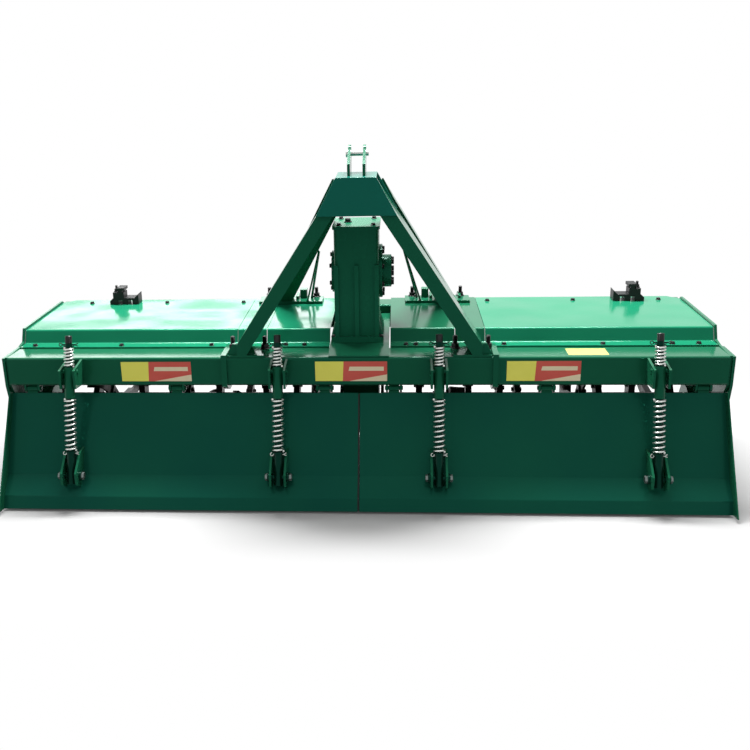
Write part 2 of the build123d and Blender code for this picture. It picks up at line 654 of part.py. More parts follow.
def front_leg():
    """Right-hand front leg: a folded channel from the cap's front down to the hitch bracket."""
    drop = (STRUT_HEAD_Z - BASE_TOP) / (STRUT_FOOT_Y - CAP_FRONT)
    head_z = STRUT_HEAD_Z + STRUT_RISE

    def band(low, high):
        return side_profile([
            (CAP_FRONT, STRUT_HEAD_Z + low),
            (STRUT_FOOT_Y + low / drop, BASE_TOP),
            (STRUT_FOOT_Y + high / drop, BASE_TOP),
            (CAP_FRONT, STRUT_HEAD_Z + high),
        ], 0, HALF_WIDTH)

    line = (STRUT_FOOT_X, STRUT_HEAD_X, BASE_TOP, head_z)
    reach = STRUT_FOOT_Y + head_z
    slant = hypot(STRUT_FOOT_X - STRUT_HEAD_X, head_z - BASE_TOP) / (head_z - BASE_TOP)
    half = STRUT_WIDTH / 2
    web = MAST_WALL * hypot(1, drop)
    leg = leaning_slab(*line, half, CAP_FRONT, reach) & band(0, STRUT_RISE)
    hollow = leaning_slab(*line, half - MAST_WALL * slant, CAP_FRONT - 1, reach) & band(web, 2 * STRUT_RISE)
    return leg - hollow


def brace(foot_x, foot_y, thickness):
    """Right-hand flat stay from the front leg's inner side down to the hitch bracket."""
    head_y, head_z = BRACE_HEAD
    head_x = BRACE_HEAD_X - thickness / 2
    half = BRACE_DEPTH / 2
    stay = leaning_slab(foot_x, head_x, BASE_TOP, head_z, thickness / 2, CAP_FRONT, foot_y + BRACE_DEPTH)
    stay &= side_profile([
        (foot_y - half, BASE_TOP),
        (foot_y + half, BASE_TOP),
        (head_y + half, head_z),
        (head_y - half, head_z),
    ], 0, HALF_WIDTH)
    line = (STRUT_FOOT_X, STRUT_HEAD_X, BASE_TOP, STRUT_HEAD_Z + STRUT_RISE)
    return stay - leaning_slab(*line, STRUT_WIDTH / 2, CAP_FRONT, foot_y + BRACE_DEPTH)


def hitch_bracket():
    """Right-hand bracket on the front beam with the two plates that hold the lower hitch pin."""
    rear = FRONT_BEAM_Y + BASE_EDGE
    edge = FRONT_BEAM_END - BASE_EDGE
    bracket = block(*BASE_X, rear, edge, HOOD_TOP + SHEET, BASE_TOP)
    bracket += block(*STOP_X, edge - STOP_LENGTH, edge, BASE_TOP, BASE_TOP + STOP_HEIGHT)
    front = FRONT_BEAM_END + HITCH_FRONT_GAP
    outline = [
        (edge - HITCH_FIN_LENGTH, BASE_TOP),
        (edge - HITCH_FIN_LENGTH, BASE_TOP + HITCH_FIN),
        (front, BASE_TOP + HITCH_FIN),
        (HITCH_Y, HITCH_Z + HITCH_EYE_RADIUS),
        (HITCH_Y, HITCH_Z - HITCH_EYE_RADIUS),
        (front + HITCH_HEM, HITCH_Z - HITCH_EYE_RADIUS),
        (front, HITCH_Z),
        (front, BASE_TOP),
    ]
    shoulder = HITCH_SPREAD / 2
    for x in (HITCH_INNER_X, shoulder - HITCH_PLATE):
        plate = side_profile(outline, x, x + HITCH_PLATE)
        plate += rod_x(x, x + HITCH_PLATE, HITCH_Y, HITCH_Z, HITCH_EYE_RADIUS)
        plate -= rod_x(x - 1, x + HITCH_PLATE + 1, HITCH_Y, HITCH_Z, HITCH_SHANK_RADIUS)
        bracket += plate
    pin = rod_x(HITCH_INNER_X - HITCH_PLATE, shoulder, HITCH_Y, HITCH_Z, HITCH_SHANK_RADIUS)
    pin += rod_x(shoulder, shoulder + HITCH_PIN_FREE, HITCH_Y, HITCH_Z, HITCH_PIN_RADIUS)
    return bracket, pin


def front_clamp():
    """Tool clamp for the front beam, about its own middle: a saddle on feet with its bolt block."""
    gap_a, gap_b = CLAMP_GAP_INNER
    gap_c, gap_d = CLAMP_GAP_OUTER
    outline = [
        (-CLAMP_HALF, 0),
        (-CLAMP_HALF, CLAMP_FIN[1]),
        (CLAMP_FIN[0] - CLAMP_HALF, CLAMP_BAR),
        (CLAMP_BLOCK[0], CLAMP_BAR),
        (CLAMP_BLOCK[0], CLAMP_BLOCK_TOP),
        (CLAMP_NECK[0], CLAMP_BLOCK_TOP),
        (CLAMP_NECK[0], CLAMP_NECK_TOP),
        (CLAMP_HEAD[0], CLAMP_NECK_TOP),
        (CLAMP_HEAD[0], CLAMP_HEAD_TOP),
        (CLAMP_HEAD[1], CLAMP_HEAD_TOP),
        (CLAMP_HEAD[1], CLAMP_NECK_TOP),
        (CLAMP_NECK[1], CLAMP_NECK_TOP),
        (CLAMP_NECK[1], CLAMP_BLOCK_TOP),
        (CLAMP_BLOCK[1], CLAMP_BLOCK_TOP),
        (CLAMP_BLOCK[1], CLAMP_BAR),
        (CLAMP_HALF, CLAMP_TOE),
        (CLAMP_HALF, 0),
        (gap_d, 0),
        (gap_d, CLAMP_ARCH),
        (gap_c, CLAMP_ARCH),
        (gap_c, 0),
        (gap_b, 0),
        (gap_b, CLAMP_ARCH),
        (gap_a, CLAMP_ARCH),
        (gap_a, 0),
    ]
    middle = FRONT_BEAM_Y + FRONT_BEAM_DEPTH / 2
    return front_profile(outline, middle - CLAMP_DEPTH / 2, middle + CLAMP_DEPTH / 2)


def front_clamps():
    """The two clamps, each set at its own place along the beam."""
    clamp = front_clamp()
    seat = HOOD_TOP + SHEET
    right = Pos(SIDE_INNER_X - CLAMP_RIGHT_INSET, 0, seat) * clamp
    left = Pos(CLAMP_LEFT_INSET - SIDE_INNER_X, 0, seat) * other_side(clamp)
    return [left, right]


def rotor_bearing():
    """Right-hand rotor bearing housing on the side plate, with its outer cap."""
    housing = rod_x(SIDE_INNER_X - BEARING_LENGTH, SIDE_INNER_X, ROTOR_Y, ROTOR_Z, BEARING_RADIUS)
    housing -= rod_x(SIDE_INNER_X - BEARING_LENGTH - 1, SIDE_INNER_X + 1, ROTOR_Y, ROTOR_Z,
                     ROTOR_STUB_RADIUS + RUNNING_GAP)
    cap = rod_x(SIDE_OUTER_X, HALF_WIDTH, ROTOR_Y, ROTOR_Z, BEARING_CAP_RADIUS)
    return housing, cap


def rotor_shaft():
    """Rotor shaft: two tubes on the drive shaft's flanges, with stubs in the end bearings."""
    stub_end = SIDE_OUTER_X - STUB_INSET
    half = rod_x(0, ROTOR_TUBE_START, ROTOR_Y, ROTOR_Z, DRIVE_SHAFT_RADIUS)
    half += rod_x(ROTOR_TUBE_START, ROTOR_TUBE_END, ROTOR_Y, ROTOR_Z, ROTOR_TUBE_RADIUS)
    half += rod_x(ROTOR_TUBE_START, ROTOR_TUBE_START + DRIVE_FLANGE, ROTOR_Y, ROTOR_Z, DRIVE_FLANGE_RADIUS)
    half += rod_x(ROTOR_TUBE_END, stub_end, ROTOR_Y, ROTOR_Z, ROTOR_STUB_RADIUS)
    return half + other_side(half)


def tine():
    """One tine in its own axes: X along the rotor, Y forward in the turn, Z outward.

    The flat shank bends sideways into a toe, and both edges sweep back towards the tip.
    """
    turn = radians(TINE_BEND_DEG)
    half = TINE_WIDTH / 2
    reach = sqrt(ROTOR_RADIUS ** 2 - (half + TINE_SWEEP) ** 2) - TINE_THICK / 2
    bend_start = reach - TINE_BEND_RADIUS * sin(turn) - TINE_TOE * cos(turn)
    shank = Line((0, TINE_ROOT), (0, bend_start))
    bend = JernArc(start=(0, bend_start), tangent=(0, 1), radius=TINE_BEND_RADIUS, arc_size=-TINE_BEND_DEG)
    toe_start = bend @ 1
    toe = Line(toe_start, toe_start + (TINE_TOE * sin(turn), TINE_TOE * cos(turn)))
    strip = extrude(Plane.XZ * trace(Curve() + [shank, bend, toe], TINE_THICK), 2 * TINE_WIDTH, both=True)
    top = ROTOR_RADIUS
    outline = make_face([
        Line((half, TINE_ROOT), (half, HOLDER_TOP)),
        TangentArc((half, HOLDER_TOP), (half - TINE_SWEEP, top), tangent=(0, 1)),
        Line((half - TINE_SWEEP, top), (-half - TINE_SWEEP, top)),
        TangentArc((-half, HOLDER_TOP), (-half - TINE_SWEEP, top), tangent=(0, 1)),
        Line((-half, HOLDER_TOP), (-half, TINE_ROOT)),
        Line((-half, TINE_ROOT), (half, TINE_ROOT)),
    ])
    blade = extrude(Plane.YZ.offset(-TINE_BEND_RADIUS * 3) * outline, TINE_BEND_RADIUS * 6)
    return strip & blade


def tine_holder():
    """Socket welded on the rotor tube, with the slot that takes a tine's shank."""
    half_x = TINE_THICK / 2 + HOLDER_WALL
    half_y = TINE_WIDTH / 2 + HOLDER_WALL
    holder = block(-half_x, half_x, -half_y, half_y, 0, HOLDER_TOP)
    holder -= rod_x(-half_x - 1, half_x + 1, 0, 0, ROTOR_TUBE_RADIUS)
    half_thick = TINE_THICK / 2
    half_wide = TINE_WIDTH / 2
    holder -= block(-half_thick, half_thick, -half_wide, half_wide, TINE_ROOT, HOLDER_TOP + 1)
    return holder


def tine_set():
    """Holders and tines along both halves of the rotor, stepped round it like a screw."""
    right_bent = tine()
    left_bent = other_side(right_bent)
    holder = tine_holder()
    holders, right_tines, left_tines = [], [], []
    for sign in (-1, 1):
        for index in range(TINE_COUNT):
            x = sign * (TINE_FIRST_X + index * TINE_PITCH)
            place = Pos(x, ROTOR_Y, ROTOR_Z) * Rot(index * TINE_STEP_DEG + 90 * sign, 0, 0)
            holders.append(place * holder)
            if index % 2:
                right_tines.append(place * right_bent)
            else:
                left_tines.append(place * left_bent)
    return holders, right_tines, left_tines


def board_axes():
    """Unit vectors of the board's main panel in (y, z): down along it, and out of its rear face."""
    dy = BOARD_FOLD[0] - BOARD_TOP[0]
    dz = BOARD_FOLD[1] - BOARD_TOP[1]
    length = hypot(dy, dz)
    return (dy / length, dz / length), (dz / length, -dy / length)


def board_point(down, out):
    """Place in (y, z) at a distance down the main panel and out of its middle."""
    (ay, az), (ny, nz) = board_axes()
    return BOARD_TOP[0] + down * ay + out * ny, BOARD_TOP[1] + down * az + out * nz


def board():
    """Right-hand trailing board: one sheet with a flared heel and a lip."""
    line = [BOARD_TOP, BOARD_FOLD, BOARD_HEEL, BOARD_FOOT]
    return bent_sheet(line, BOARD_SHEET, BOARD_BEND, BOARD_INNER_X, BOARD_OUTER_X)


def board_fittings():
    """Hinge knuckles, rod lugs and the end flange welded on the right-hand board."""
    half = BOARD_SHEET / 2
    fittings = []
    strap = [
        board_point(-STRAP_RISE, -half - STRAP_THICK),
        board_point(STRAP_LENGTH, -half - STRAP_THICK),
        board_point(STRAP_LENGTH, -half),
        board_point(-STRAP_RISE, -half),
    ]
    for x in HINGE_X:
        x0 = x - KNUCKLE_LENGTH / 2
        x1 = x + KNUCKLE_LENGTH / 2
        knuckle = rod_x(x0, x1, HINGE_Y, HINGE_Z, KNUCKLE_RADIUS)
        knuckle += side_profile(strap, x0, x1)
        knuckle -= rod_x(x0 - 1, x1 + 1, HINGE_Y, HINGE_Z, HINGE_PIN_RADIUS + RUNNING_GAP)
        fittings.append(knuckle)
    lug = [
        board_point(LUG_TOP, half),
        (FOOT_PIN_Y + LUG_SHOULDER[0], FOOT_PIN_Z + LUG_SHOULDER[1]),
        (FOOT_PIN_Y - LUG_NOSE[0], FOOT_PIN_Z + LUG_NOSE[1]),
        (FOOT_PIN_Y - LUG_NOSE[0], FOOT_PIN_Z - LUG_NOSE[1]),
        (FOOT_PIN_Y + LUG_CHIN[0], FOOT_PIN_Z - LUG_CHIN[1]),
        board_point(LUG_BOTTOM, half),
    ]
    for x in ROD_X:
        for x0 in (x - EAR_GAP / 2 - EAR_PLATE, x + EAR_GAP / 2):
            ear = side_profile(lug, x0, x0 + EAR_PLATE)
            ear -= rod_x(x0 - 1, x0 + EAR_PLATE + 1, FOOT_PIN_Y, FOOT_PIN_Z, FOOT_HOLE_RADIUS)
            fittings.append(ear)
    return fittings


def end_flange():
    """Upright flange along the right-hand board's outer end."""
    half = BOARD_SHEET / 2
    outline = [
        board_point(0, half),
        board_point(0, half + END_FLANGE_TOP),
        (BOARD_FOOT[0] - END_FLANGE_FOOT, BOARD_FOOT[1] + END_FLANGE_LIFT),
        (BOARD_FOOT[0] - half - 1, BOARD_FOOT[1] + 1),
        (BOARD_HEEL[0] - half, BOARD_HEEL[1] + half),
        (BOARD_FOLD[0] - half, BOARD_FOLD[1] + half),
    ]
    return side_profile(outline, BOARD_OUTER_X - BOARD_SHEET, BOARD_OUTER_X)


def hinge_lugs():
    """Lugs under the rear beam, with the pins that the boards swing on."""
    lugs = []
    gap = KNUCKLE_LENGTH / 2 + LUG_GAP
    for x in HINGE_X:
        hinge = None
        for x0 in (x - gap - LUG_PLATE, x + gap):
            x1 = x0 + LUG_PLATE
            plate = block(x0, x1, HINGE_Y - LUG_RADIUS, HINGE_Y + LUG_RADIUS, HINGE_Z, BEAM_BOTTOM)
            plate += rod_x(x0, x1, HINGE_Y, HINGE_Z, LUG_RADIUS)
            hinge = plate if hinge is None else hinge + plate
        reach = gap + LUG_PLATE + HINGE_PIN_END
        hinge += rod_x(x - reach, x + reach, HINGE_Y, HINGE_Z, HINGE_PIN_RADIUS)
        lugs += [hinge, other_side(hinge)]
    return lugs


def rod_axis(x):
    """Axes of one spring rod: origin on the cross pins, Z up along the rod."""
    lean = (0, PIVOT_Y - FOOT_PIN_Y, PIVOT_Z - FOOT_PIN_Z)
    return Plane(origin=(x, PIVOT_Y, PIVOT_Z), x_dir=(1, 0, 0), z_dir=lean)


def along(z0, z1, radius):
    """Round piece along a rod's own axis."""
    return Pos(0, 0, (z0 + z1) / 2) * Cylinder(radius, z1 - z0)


def rod_bracket(x):
    """Pair of ears on the rear beam that carry one guide sleeve."""
    outline = [
        (0, BEAM_TOP - EAR_TOP_EDGE),
        (-EAR_DEPTH, BEAM_TOP - EAR_TOP_EDGE - EAR_DROP),
        (-EAR_DEPTH, EAR_BOTTOM),
        (0, BEAM_BOTTOM + EAR_BOTTOM_EDGE),
    ]
    ears = []
    for x0 in (x - EAR_GAP / 2 - EAR_PLATE, x + EAR_GAP / 2):
        ear = side_profile(outline, x0, x0 + EAR_PLATE)
        ear -= rod_x(x0 - 1, x0 + EAR_PLATE + 1, PIVOT_Y, PIVOT_Z, TRUNNION_RADIUS + RUNNING_GAP)
        ears.append(ear)
    return ears


def spring_tube(z0, length, radius):
    """Coil spring as its hollow envelope."""
    return along(z0, z0 + length, radius) - along(z0, z0 + length, radius - SPRING_WIRE)


def guide_sleeve():
    """Sleeve that guides a rod, on its two cross pins."""
    bottom = SLEEVE_TOP - SLEEVE_LENGTH
    sleeve = along(bottom, SLEEVE_TOP, SLEEVE_RADIUS)
    reach = EAR_GAP / 2 + EAR_PLATE + TRUNNION_END
    sleeve += rod_x(-reach, reach, 0, 0, TRUNNION_RADIUS)
    return sleeve - along(bottom - 1, SLEEVE_TOP + 1, ROD_RADIUS + SLIDE_GAP)


def spring_rod():
    """Rod with its upper washer, spring seat, and the tube and bolt at its foot."""
    foot = -hypot(PIVOT_Y - FOOT_PIN_Y, PIVOT_Z - FOOT_PIN_Z)
    seat = SLEEVE_TOP - SLEEVE_LENGTH - 2 * SEAT_GAP - MAIN_SPRING_LENGTH
    stop = SLEEVE_TOP + 2 * SEAT_GAP + UPPER_SPRING_LENGTH
    cotter = stop + WASHER_THICK + COTTER_GAP + COTTER_RADIUS
    rod = along(seat - 1, ROD_TOP, ROD_RADIUS)
    rod += along(stop, stop + WASHER_THICK, UPPER_SPRING_RADIUS)
    rod += rod_x(-COTTER_HALF, COTTER_HALF, 0, cotter, COTTER_RADIUS)
    rod += along(seat - WASHER_THICK, seat, MAIN_SPRING_RADIUS)
    rod += along(foot - ROD_TUBE_END, seat, ROD_TUBE_RADIUS)
    reach = EAR_GAP / 2 + EAR_PLATE + SEAT_GAP
    rod += rod_x(-reach - FOOT_HEAD, reach + FOOT_HEAD, 0, foot, FOOT_PIN_RADIUS)
    for sign in (-1, 1):
        x0, x1 = sorted((sign * reach, sign * (reach + FOOT_HEAD)))
        rod += rod_x(x0, x1, 0, foot, FOOT_HEAD_RADIUS)
    return rod


def build():
    os.makedirs("parts", exist_ok=True)
    centre, wing = rear_beam()
    save("rear_beam_center", centre)
    save("rear_beam_right", wing)
    save("rear_beam_left", other_side(wing))
    save("front_beam", front_beam())
    plate = side_plate()
    save("side_plate_right", plate)
    save("side_plate_left", other_side(plate))
    cap = end_cap()
    save("beam_end_caps", cap, other_side(cap))
    runner = skid()
    save("skids", runner, other_side(runner))
    save("frame_ribs", *frame_ribs())
    panel = hood_outer()
    save("hood_right", panel)
    save("hood_left", other_side(panel))
    inner = hood_inner()
    save("hood_inner_right", *inner)
    save("hood_inner_left", *[other_side(piece) for piece in inner])
    save("hood_rails", *hood_rails())
    save("gearbox_case", gearbox_case())
    save("gearbox_cover", gearbox_cover())
    save("gearbox_bed", gearbox_bed())
    save("final_drive_case", final_drive_case())
    save("bearing_covers", *bearing_covers())
    housing, shaft = input_drive()
    save("input_housing", housing)
    save("input_shaft", shaft)
    leg = mast_leg()
    save("mast_leg_right", leg)
    save("mast_leg_left", other_side(leg))
    save("mast_cap", mast_cap())
    ears, pin = clevis()
    save("top_link_ears", *ears)
    save("top_link_pin", pin)
    struts = [front_leg()] + [brace(*sizes) for sizes in BRACES]
    save("front_struts", *struts, *[other_side(piece) for piece in struts])
    bracket, hitch_pin = hitch_bracket()
    save("hitch_bracket_right", bracket)
    save("hitch_bracket_left", other_side(bracket))
    save("hitch_pins", hitch_pin, other_side(hitch_pin))
    save("front_clamps", *front_clamps())
    bearing = rotor_bearing()
    save("rotor_bearings", *bearing, *[other_side(piece) for piece in bearing])
    save("rotor_shaft", rotor_shaft())
    holders, right_tines, left_tines = tine_set()
    save("tine_holders", *holders)
    save("tines_right_bent", *right_tines)
    save("tines_left_bent", *left_tines)
    sheet = board()
    save("board_right", sheet)
    save("board_left", other_side(sheet))
    fittings = board_fittings() + [end_flange()]
    save("board_fittings_right", *fittings)
    save("board_fittings_left", *[other_side(piece) for piece in fittings])
    save("hinge_lugs", *hinge_lugs())
    brackets = []
    for side, sign in (("left", -1), ("right", 1)):
        for place, x in zip(("inner", "outer"), ROD_X):
            axis = rod_axis(sign * x)
            brackets += rod_bracket(sign * x)
            save(f"sleeve_{side}_{place}", axis * guide_sleeve())
            save(f"rod_{side}_{place}", axis * spring_rod())
            upper = spring_tube(SLEEVE_TOP + SEAT_GAP, UPPER_SPRING_LENGTH, UPPER_SPRING_RADIUS)
            save(f"upper_spring_{side}_{place}", axis * upper)
            bottom = SLEEVE_TOP - SLEEVE_LENGTH - SEAT_GAP - MAIN_SPRING_LENGTH
            main = spring_tube(bottom, MAIN_SPRING_LENGTH, MAIN_SPRING_RADIUS)
            save(f"main_spring_{side}_{place}", axis * main)
    save("rod_brackets", *brackets)


build()
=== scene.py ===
"""Looks of the rotary tiller: finishes for its CAD nodes, and the small pieces fixed to them."""
import math

import bmesh
import bpy
from mathutils import Matrix, Vector


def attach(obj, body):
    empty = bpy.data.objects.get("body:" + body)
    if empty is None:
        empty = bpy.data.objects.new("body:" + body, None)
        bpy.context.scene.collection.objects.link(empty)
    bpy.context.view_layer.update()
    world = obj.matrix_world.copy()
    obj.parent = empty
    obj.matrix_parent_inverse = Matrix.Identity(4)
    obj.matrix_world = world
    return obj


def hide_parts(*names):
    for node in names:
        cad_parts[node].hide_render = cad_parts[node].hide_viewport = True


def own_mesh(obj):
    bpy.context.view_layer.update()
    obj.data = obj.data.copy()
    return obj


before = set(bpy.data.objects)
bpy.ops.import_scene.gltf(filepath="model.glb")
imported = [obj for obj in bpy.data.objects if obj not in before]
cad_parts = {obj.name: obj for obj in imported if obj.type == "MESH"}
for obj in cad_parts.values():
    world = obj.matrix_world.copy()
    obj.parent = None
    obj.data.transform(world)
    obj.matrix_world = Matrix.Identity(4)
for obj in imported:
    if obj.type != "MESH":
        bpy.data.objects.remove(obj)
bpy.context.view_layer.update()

# Welded frame: two cross beams of rectangular tube, side plates, ribs, rails and end caps.
# Laser-cut plate and tube, welded in a jig and sprayed all over with gloss machinery enamel.
MM = 0.001
PLATE_TONES = ("#114B36", "#17593C")
PLATE_RIPPLE_MM = 300
PLATE_RIPPLE_DEPTH_MM = 0.4
SHINE_TINT = "#3FA58A"
TONE_PATCH_MM = 420
GLOSS_PATCH_MM = 70
EDGE_MM = 1.6
SAME_POINT_MM = 0.01
SHARP_EDGE = math.radians(35)
MIX_A, MIX_B, MIX_RESULT = 6, 7, 2      # the colour sockets of a Mix node


def linear(hex_colour):
    """Linear colour of an sRGB hex value."""
    channels = [int(hex_colour[i:i + 2], 16) / 255 for i in (1, 3, 5)]
    return [c / 12.92 if c <= 0.04045 else ((c + 0.055) / 1.055) ** 2.4 for c in channels] + [1.0]


def wire(tree, node, inputs):
    """Set a node's inputs: each is a value, or the socket that feeds it."""
    for name, value in inputs.items():
        if isinstance(value, bpy.types.NodeSocket):
            tree.links.new(value, node.inputs[name])
        else:
            node.inputs[name].default_value = value


def add_node(tree, kind, inputs=None, **settings):
    """Add one shader node with its settings and links."""
    made = tree.nodes.new(kind)
    for name, value in settings.items():
        setattr(made, name, value)
    wire(tree, made, inputs or {})
    return made


def new_material(name):
    """An empty material: its node tree, its shader and its object coordinates."""
    material = bpy.data.materials.new(name)
    material.use_nodes = True
    tree = material.node_tree
    place = add_node(tree, "ShaderNodeTexCoord").outputs["Object"]
    return material, tree, tree.nodes["Principled BSDF"], place


def green_enamel(name, ripple_mm, ripple_depth_mm, tones=PLATE_TONES, peel_mm=9, peel_depth_mm=0.03,
                 roughness=0.16):
    """Sprayed gloss enamel on steel: a deep green with a clear shine and a little orange peel.

    Steel is never quite flat, and thin sheet least of all, so its reflections waver over the ripple's
    length. The tone drifts a little, handling leaves the gloss uneven, and the shine has some green in it.
    Real orange peel is 2 or 3 mm wide; it is drawn coarser, or it wouldn't show.
    """
    material, tree, shader, place = new_material(name)
    drift = add_node(tree, "ShaderNodeTexNoise", {
        "Vector": place, "Scale": 1 / (TONE_PATCH_MM * MM), "Detail": 2.0})
    colour = add_node(tree, "ShaderNodeMix", {
        "Factor": drift.outputs["Fac"], MIX_A: linear(tones[0]), MIX_B: linear(tones[1])}, data_type="RGBA")
    ripple = add_node(tree, "ShaderNodeTexNoise", {
        "Vector": place, "Scale": 1 / (ripple_mm * MM), "Detail": 1.0})
    sheet = add_node(tree, "ShaderNodeBump", {
        "Height": ripple.outputs["Fac"], "Strength": 1.0, "Distance": ripple_depth_mm * MM})
    peel = add_node(tree, "ShaderNodeTexNoise", {
        "Vector": place, "Scale": 1 / (peel_mm * MM), "Detail": 2.0})
    skin = add_node(tree, "ShaderNodeBump", {
        "Height": peel.outputs["Fac"], "Strength": 1.0, "Distance": peel_depth_mm * MM,
        "Normal": sheet.outputs["Normal"]})
    marks = add_node(tree, "ShaderNodeTexNoise", {
        "Vector": place, "Scale": 1 / (GLOSS_PATCH_MM * MM), "Detail": 3.0})
    gloss = add_node(tree, "ShaderNodeMapRange", {
        "Value": marks.outputs["Fac"], "To Min": roughness - 0.05, "To Max": roughness + 0.06})
    wire(tree, shader, {
        "Base Color": colour.outputs[MIX_RESULT], "Roughness": gloss.outputs[0],
        "Normal": skin.outputs["Normal"], "IOR": 1.5, "Specular IOR Level": 0.5,
        "Specular Tint": linear(SHINE_TINT)})
    return material


def dress(material, *names):
    """Give CAD nodes a finish."""
    for name in names:
        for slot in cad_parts[name].material_slots:
            slot.material = material


def soften(*names):
    """Round the edges of CAD nodes a little, as grinding and paint leave them."""
    for name in names:
        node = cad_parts[name]
        weld = node.modifiers.new("weld", "WELD")
        weld.merge_threshold = SAME_POINT_MM * MM
        edge = node.modifiers.new("edge", "BEVEL")
        edge.width = EDGE_MM * MM
        edge.segments = 2
        edge.limit_method = "ANGLE"
        edge.angle_limit = SHARP_EDGE
        edge.harden_normals = True


def sides(*names):
    """The left-hand and right-hand node of each pair."""
    return [f"{name}_{side}" for name in names for side in ("left", "right")]


plate_enamel = green_enamel("enamel_on_plate", PLATE_RIPPLE_MM, PLATE_RIPPLE_DEPTH_MM)
frame_nodes = [
    "rear_beam_center", *sides("rear_beam", "side_plate"), "front_beam", "beam_end_caps", "frame_ribs"]
dress(plate_enamel, *frame_nodes, "hood_rails")
soften(*frame_nodes)

# Stickers: three printed vinyl films on the beam's rear face and one on its top.
# Pressed on over the paint. They are blank: yellow and red fields, a pale bar and a pale corner.
STICKER_LEFT_MM = (-893, -161, 541)
STICKER_WIDTH_MM = 266
STICKER_HEIGHTS_MM = (444, 520)
YELLOW_SHARE = 0.39
FIELD_LEAN_MM = 2
CORNER_INSET_MM = 22
CORNER_RISE_MM = 26
BAR_HEIGHTS_MM = (484, 500)
BAR_INSET_MM = 20
BAR_LEAN_MM = 4
BAR_END_MM = 12
FILM_MM = 0.3
PRINTED_FILM_MM = 0.5
LABEL_X_MM = (765, 910)
LABEL_Y_MM = (25, 105)
BEAM_TOP_MM = 535
ROW_SHIFT_MM = 283
BLEACHED_PATCH_MM = 60
SATIN_MM = 4
SATIN_DEPTH_MM = 0.02


def at(x, y, z):
    """Row place of a point in mm, with y forward from the rear beam's rear face."""
    return Vector((x, y - ROW_SHIFT_MM, z)) * MM


def film(shape, corners, index, push):
    """A thin film: a flat outline pushed out a little from the face that it sticks to."""
    face = shape.faces.new([shape.verts.new(corner) for corner in corners])
    grown = bmesh.ops.extrude_face_region(shape, geom=[face])
    moved = [part for part in grown["geom"] if isinstance(part, bmesh.types.BMVert)]
    bmesh.ops.translate(shape, verts=moved, vec=push)
    for vert in moved:
        for side in vert.link_faces:
            side.material_index = index


def fix(name, shape, body, slot, *materials):
    """Make a finished piece of a shape: it rides on a body and takes the finishes given. The slot is not used.
    """
    bmesh.ops.recalc_face_normals(shape, faces=shape.faces)
    mesh = bpy.data.meshes.new(name)
    shape.to_mesh(mesh)
    shape.free()
    for polygon in mesh.polygons:
        polygon.use_smooth = True
    mesh.set_sharp_from_angle(angle=SHARP_EDGE)
    for material in materials:
        mesh.materials.append(material)
    piece = bpy.data.objects.new(name, mesh)
    bpy.context.scene.collection.objects.link(piece)
    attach(piece, body)
    return piece


def vinyl(name, *tones):
    """Printed vinyl: an even colour a little bleached in patches, with a satin skin.

    The skin's grain is drawn coarser than the real tenths of a millimetre, or it wouldn't show.
    """
    material, tree, shader, place = new_material(name)
    bleached = add_node(tree, "ShaderNodeTexNoise", {
        "Vector": place, "Scale": 1 / (BLEACHED_PATCH_MM * MM), "Detail": 2.0})
    colour = add_node(tree, "ShaderNodeMix", {
        "Factor": bleached.outputs["Fac"], MIX_A: linear(tones[0]), MIX_B: linear(tones[1])}, data_type="RGBA")
    satin = add_node(tree, "ShaderNodeTexNoise", {
        "Vector": place, "Scale": 1 / (SATIN_MM * MM), "Detail": 1.0})
    skin = add_node(tree, "ShaderNodeBump", {
        "Height": satin.outputs["Fac"], "Strength": 1.0, "Distance": SATIN_DEPTH_MM * MM})
    wire(tree, shader, {
        "Base Color": colour.outputs[MIX_RESULT], "Normal": skin.outputs["Normal"], "Roughness": 0.34,
        "Specular IOR Level": 0.4})
    return material


yellow_vinyl = vinyl("yellow_vinyl", "#F0EC5E", "#F8F46A")
red_vinyl = vinyl("red_vinyl", "#CC4A3C", "#D85C4E")
pale_vinyl = vinyl("pale_vinyl", "#EADBB4", "#F4E6C0")
straw_vinyl = vinyl("straw_vinyl", "#A8A058", "#B4AC62")
YELLOW, RED, PALE, STRAW = range(4)
stickers = bmesh.new()
for left in STICKER_LEFT_MM:
    right = left + STICKER_WIDTH_MM
    middle = left + YELLOW_SHARE * STICKER_WIDTH_MM
    low, high = STICKER_HEIGHTS_MM
    foot = middle - FIELD_LEAN_MM
    head = middle + FIELD_LEAN_MM
    bar_low, bar_high = BAR_HEIGHTS_MM
    bar_left = middle + BAR_INSET_MM
    bar_right = right - BAR_END_MM
    fields = (
        (YELLOW, FILM_MM, ((left, low), (foot, low), (head, high), (left, high))),
        (RED, FILM_MM, ((foot, low), (right, low), (right, high), (head, high))),
        (PALE, PRINTED_FILM_MM, (
            (middle + CORNER_INSET_MM, low), (right, low), (right, low + CORNER_RISE_MM))),
        (PALE, PRINTED_FILM_MM, (
            (bar_left, bar_low), (bar_right, bar_low), (bar_right, bar_high),
            (bar_left + BAR_LEAN_MM, bar_high))),
    )
    for finish, thick, outline in fields:
        film(stickers, [at(x, 0, z) for x, z in outline], finish, (0, -thick * MM, 0))
label = [(x, LABEL_Y_MM[0]) for x in LABEL_X_MM] + [(x, LABEL_Y_MM[1]) for x in reversed(LABEL_X_MM)]
film(stickers, [at(x, y, BEAM_TOP_MM) for x, y in label], STRAW, (0, 0, FILM_MM * MM))
fix("stickers", stickers, "frame", "green_paint", yellow_vinyl, red_vinyl, pale_vinyl, straw_vinyl)
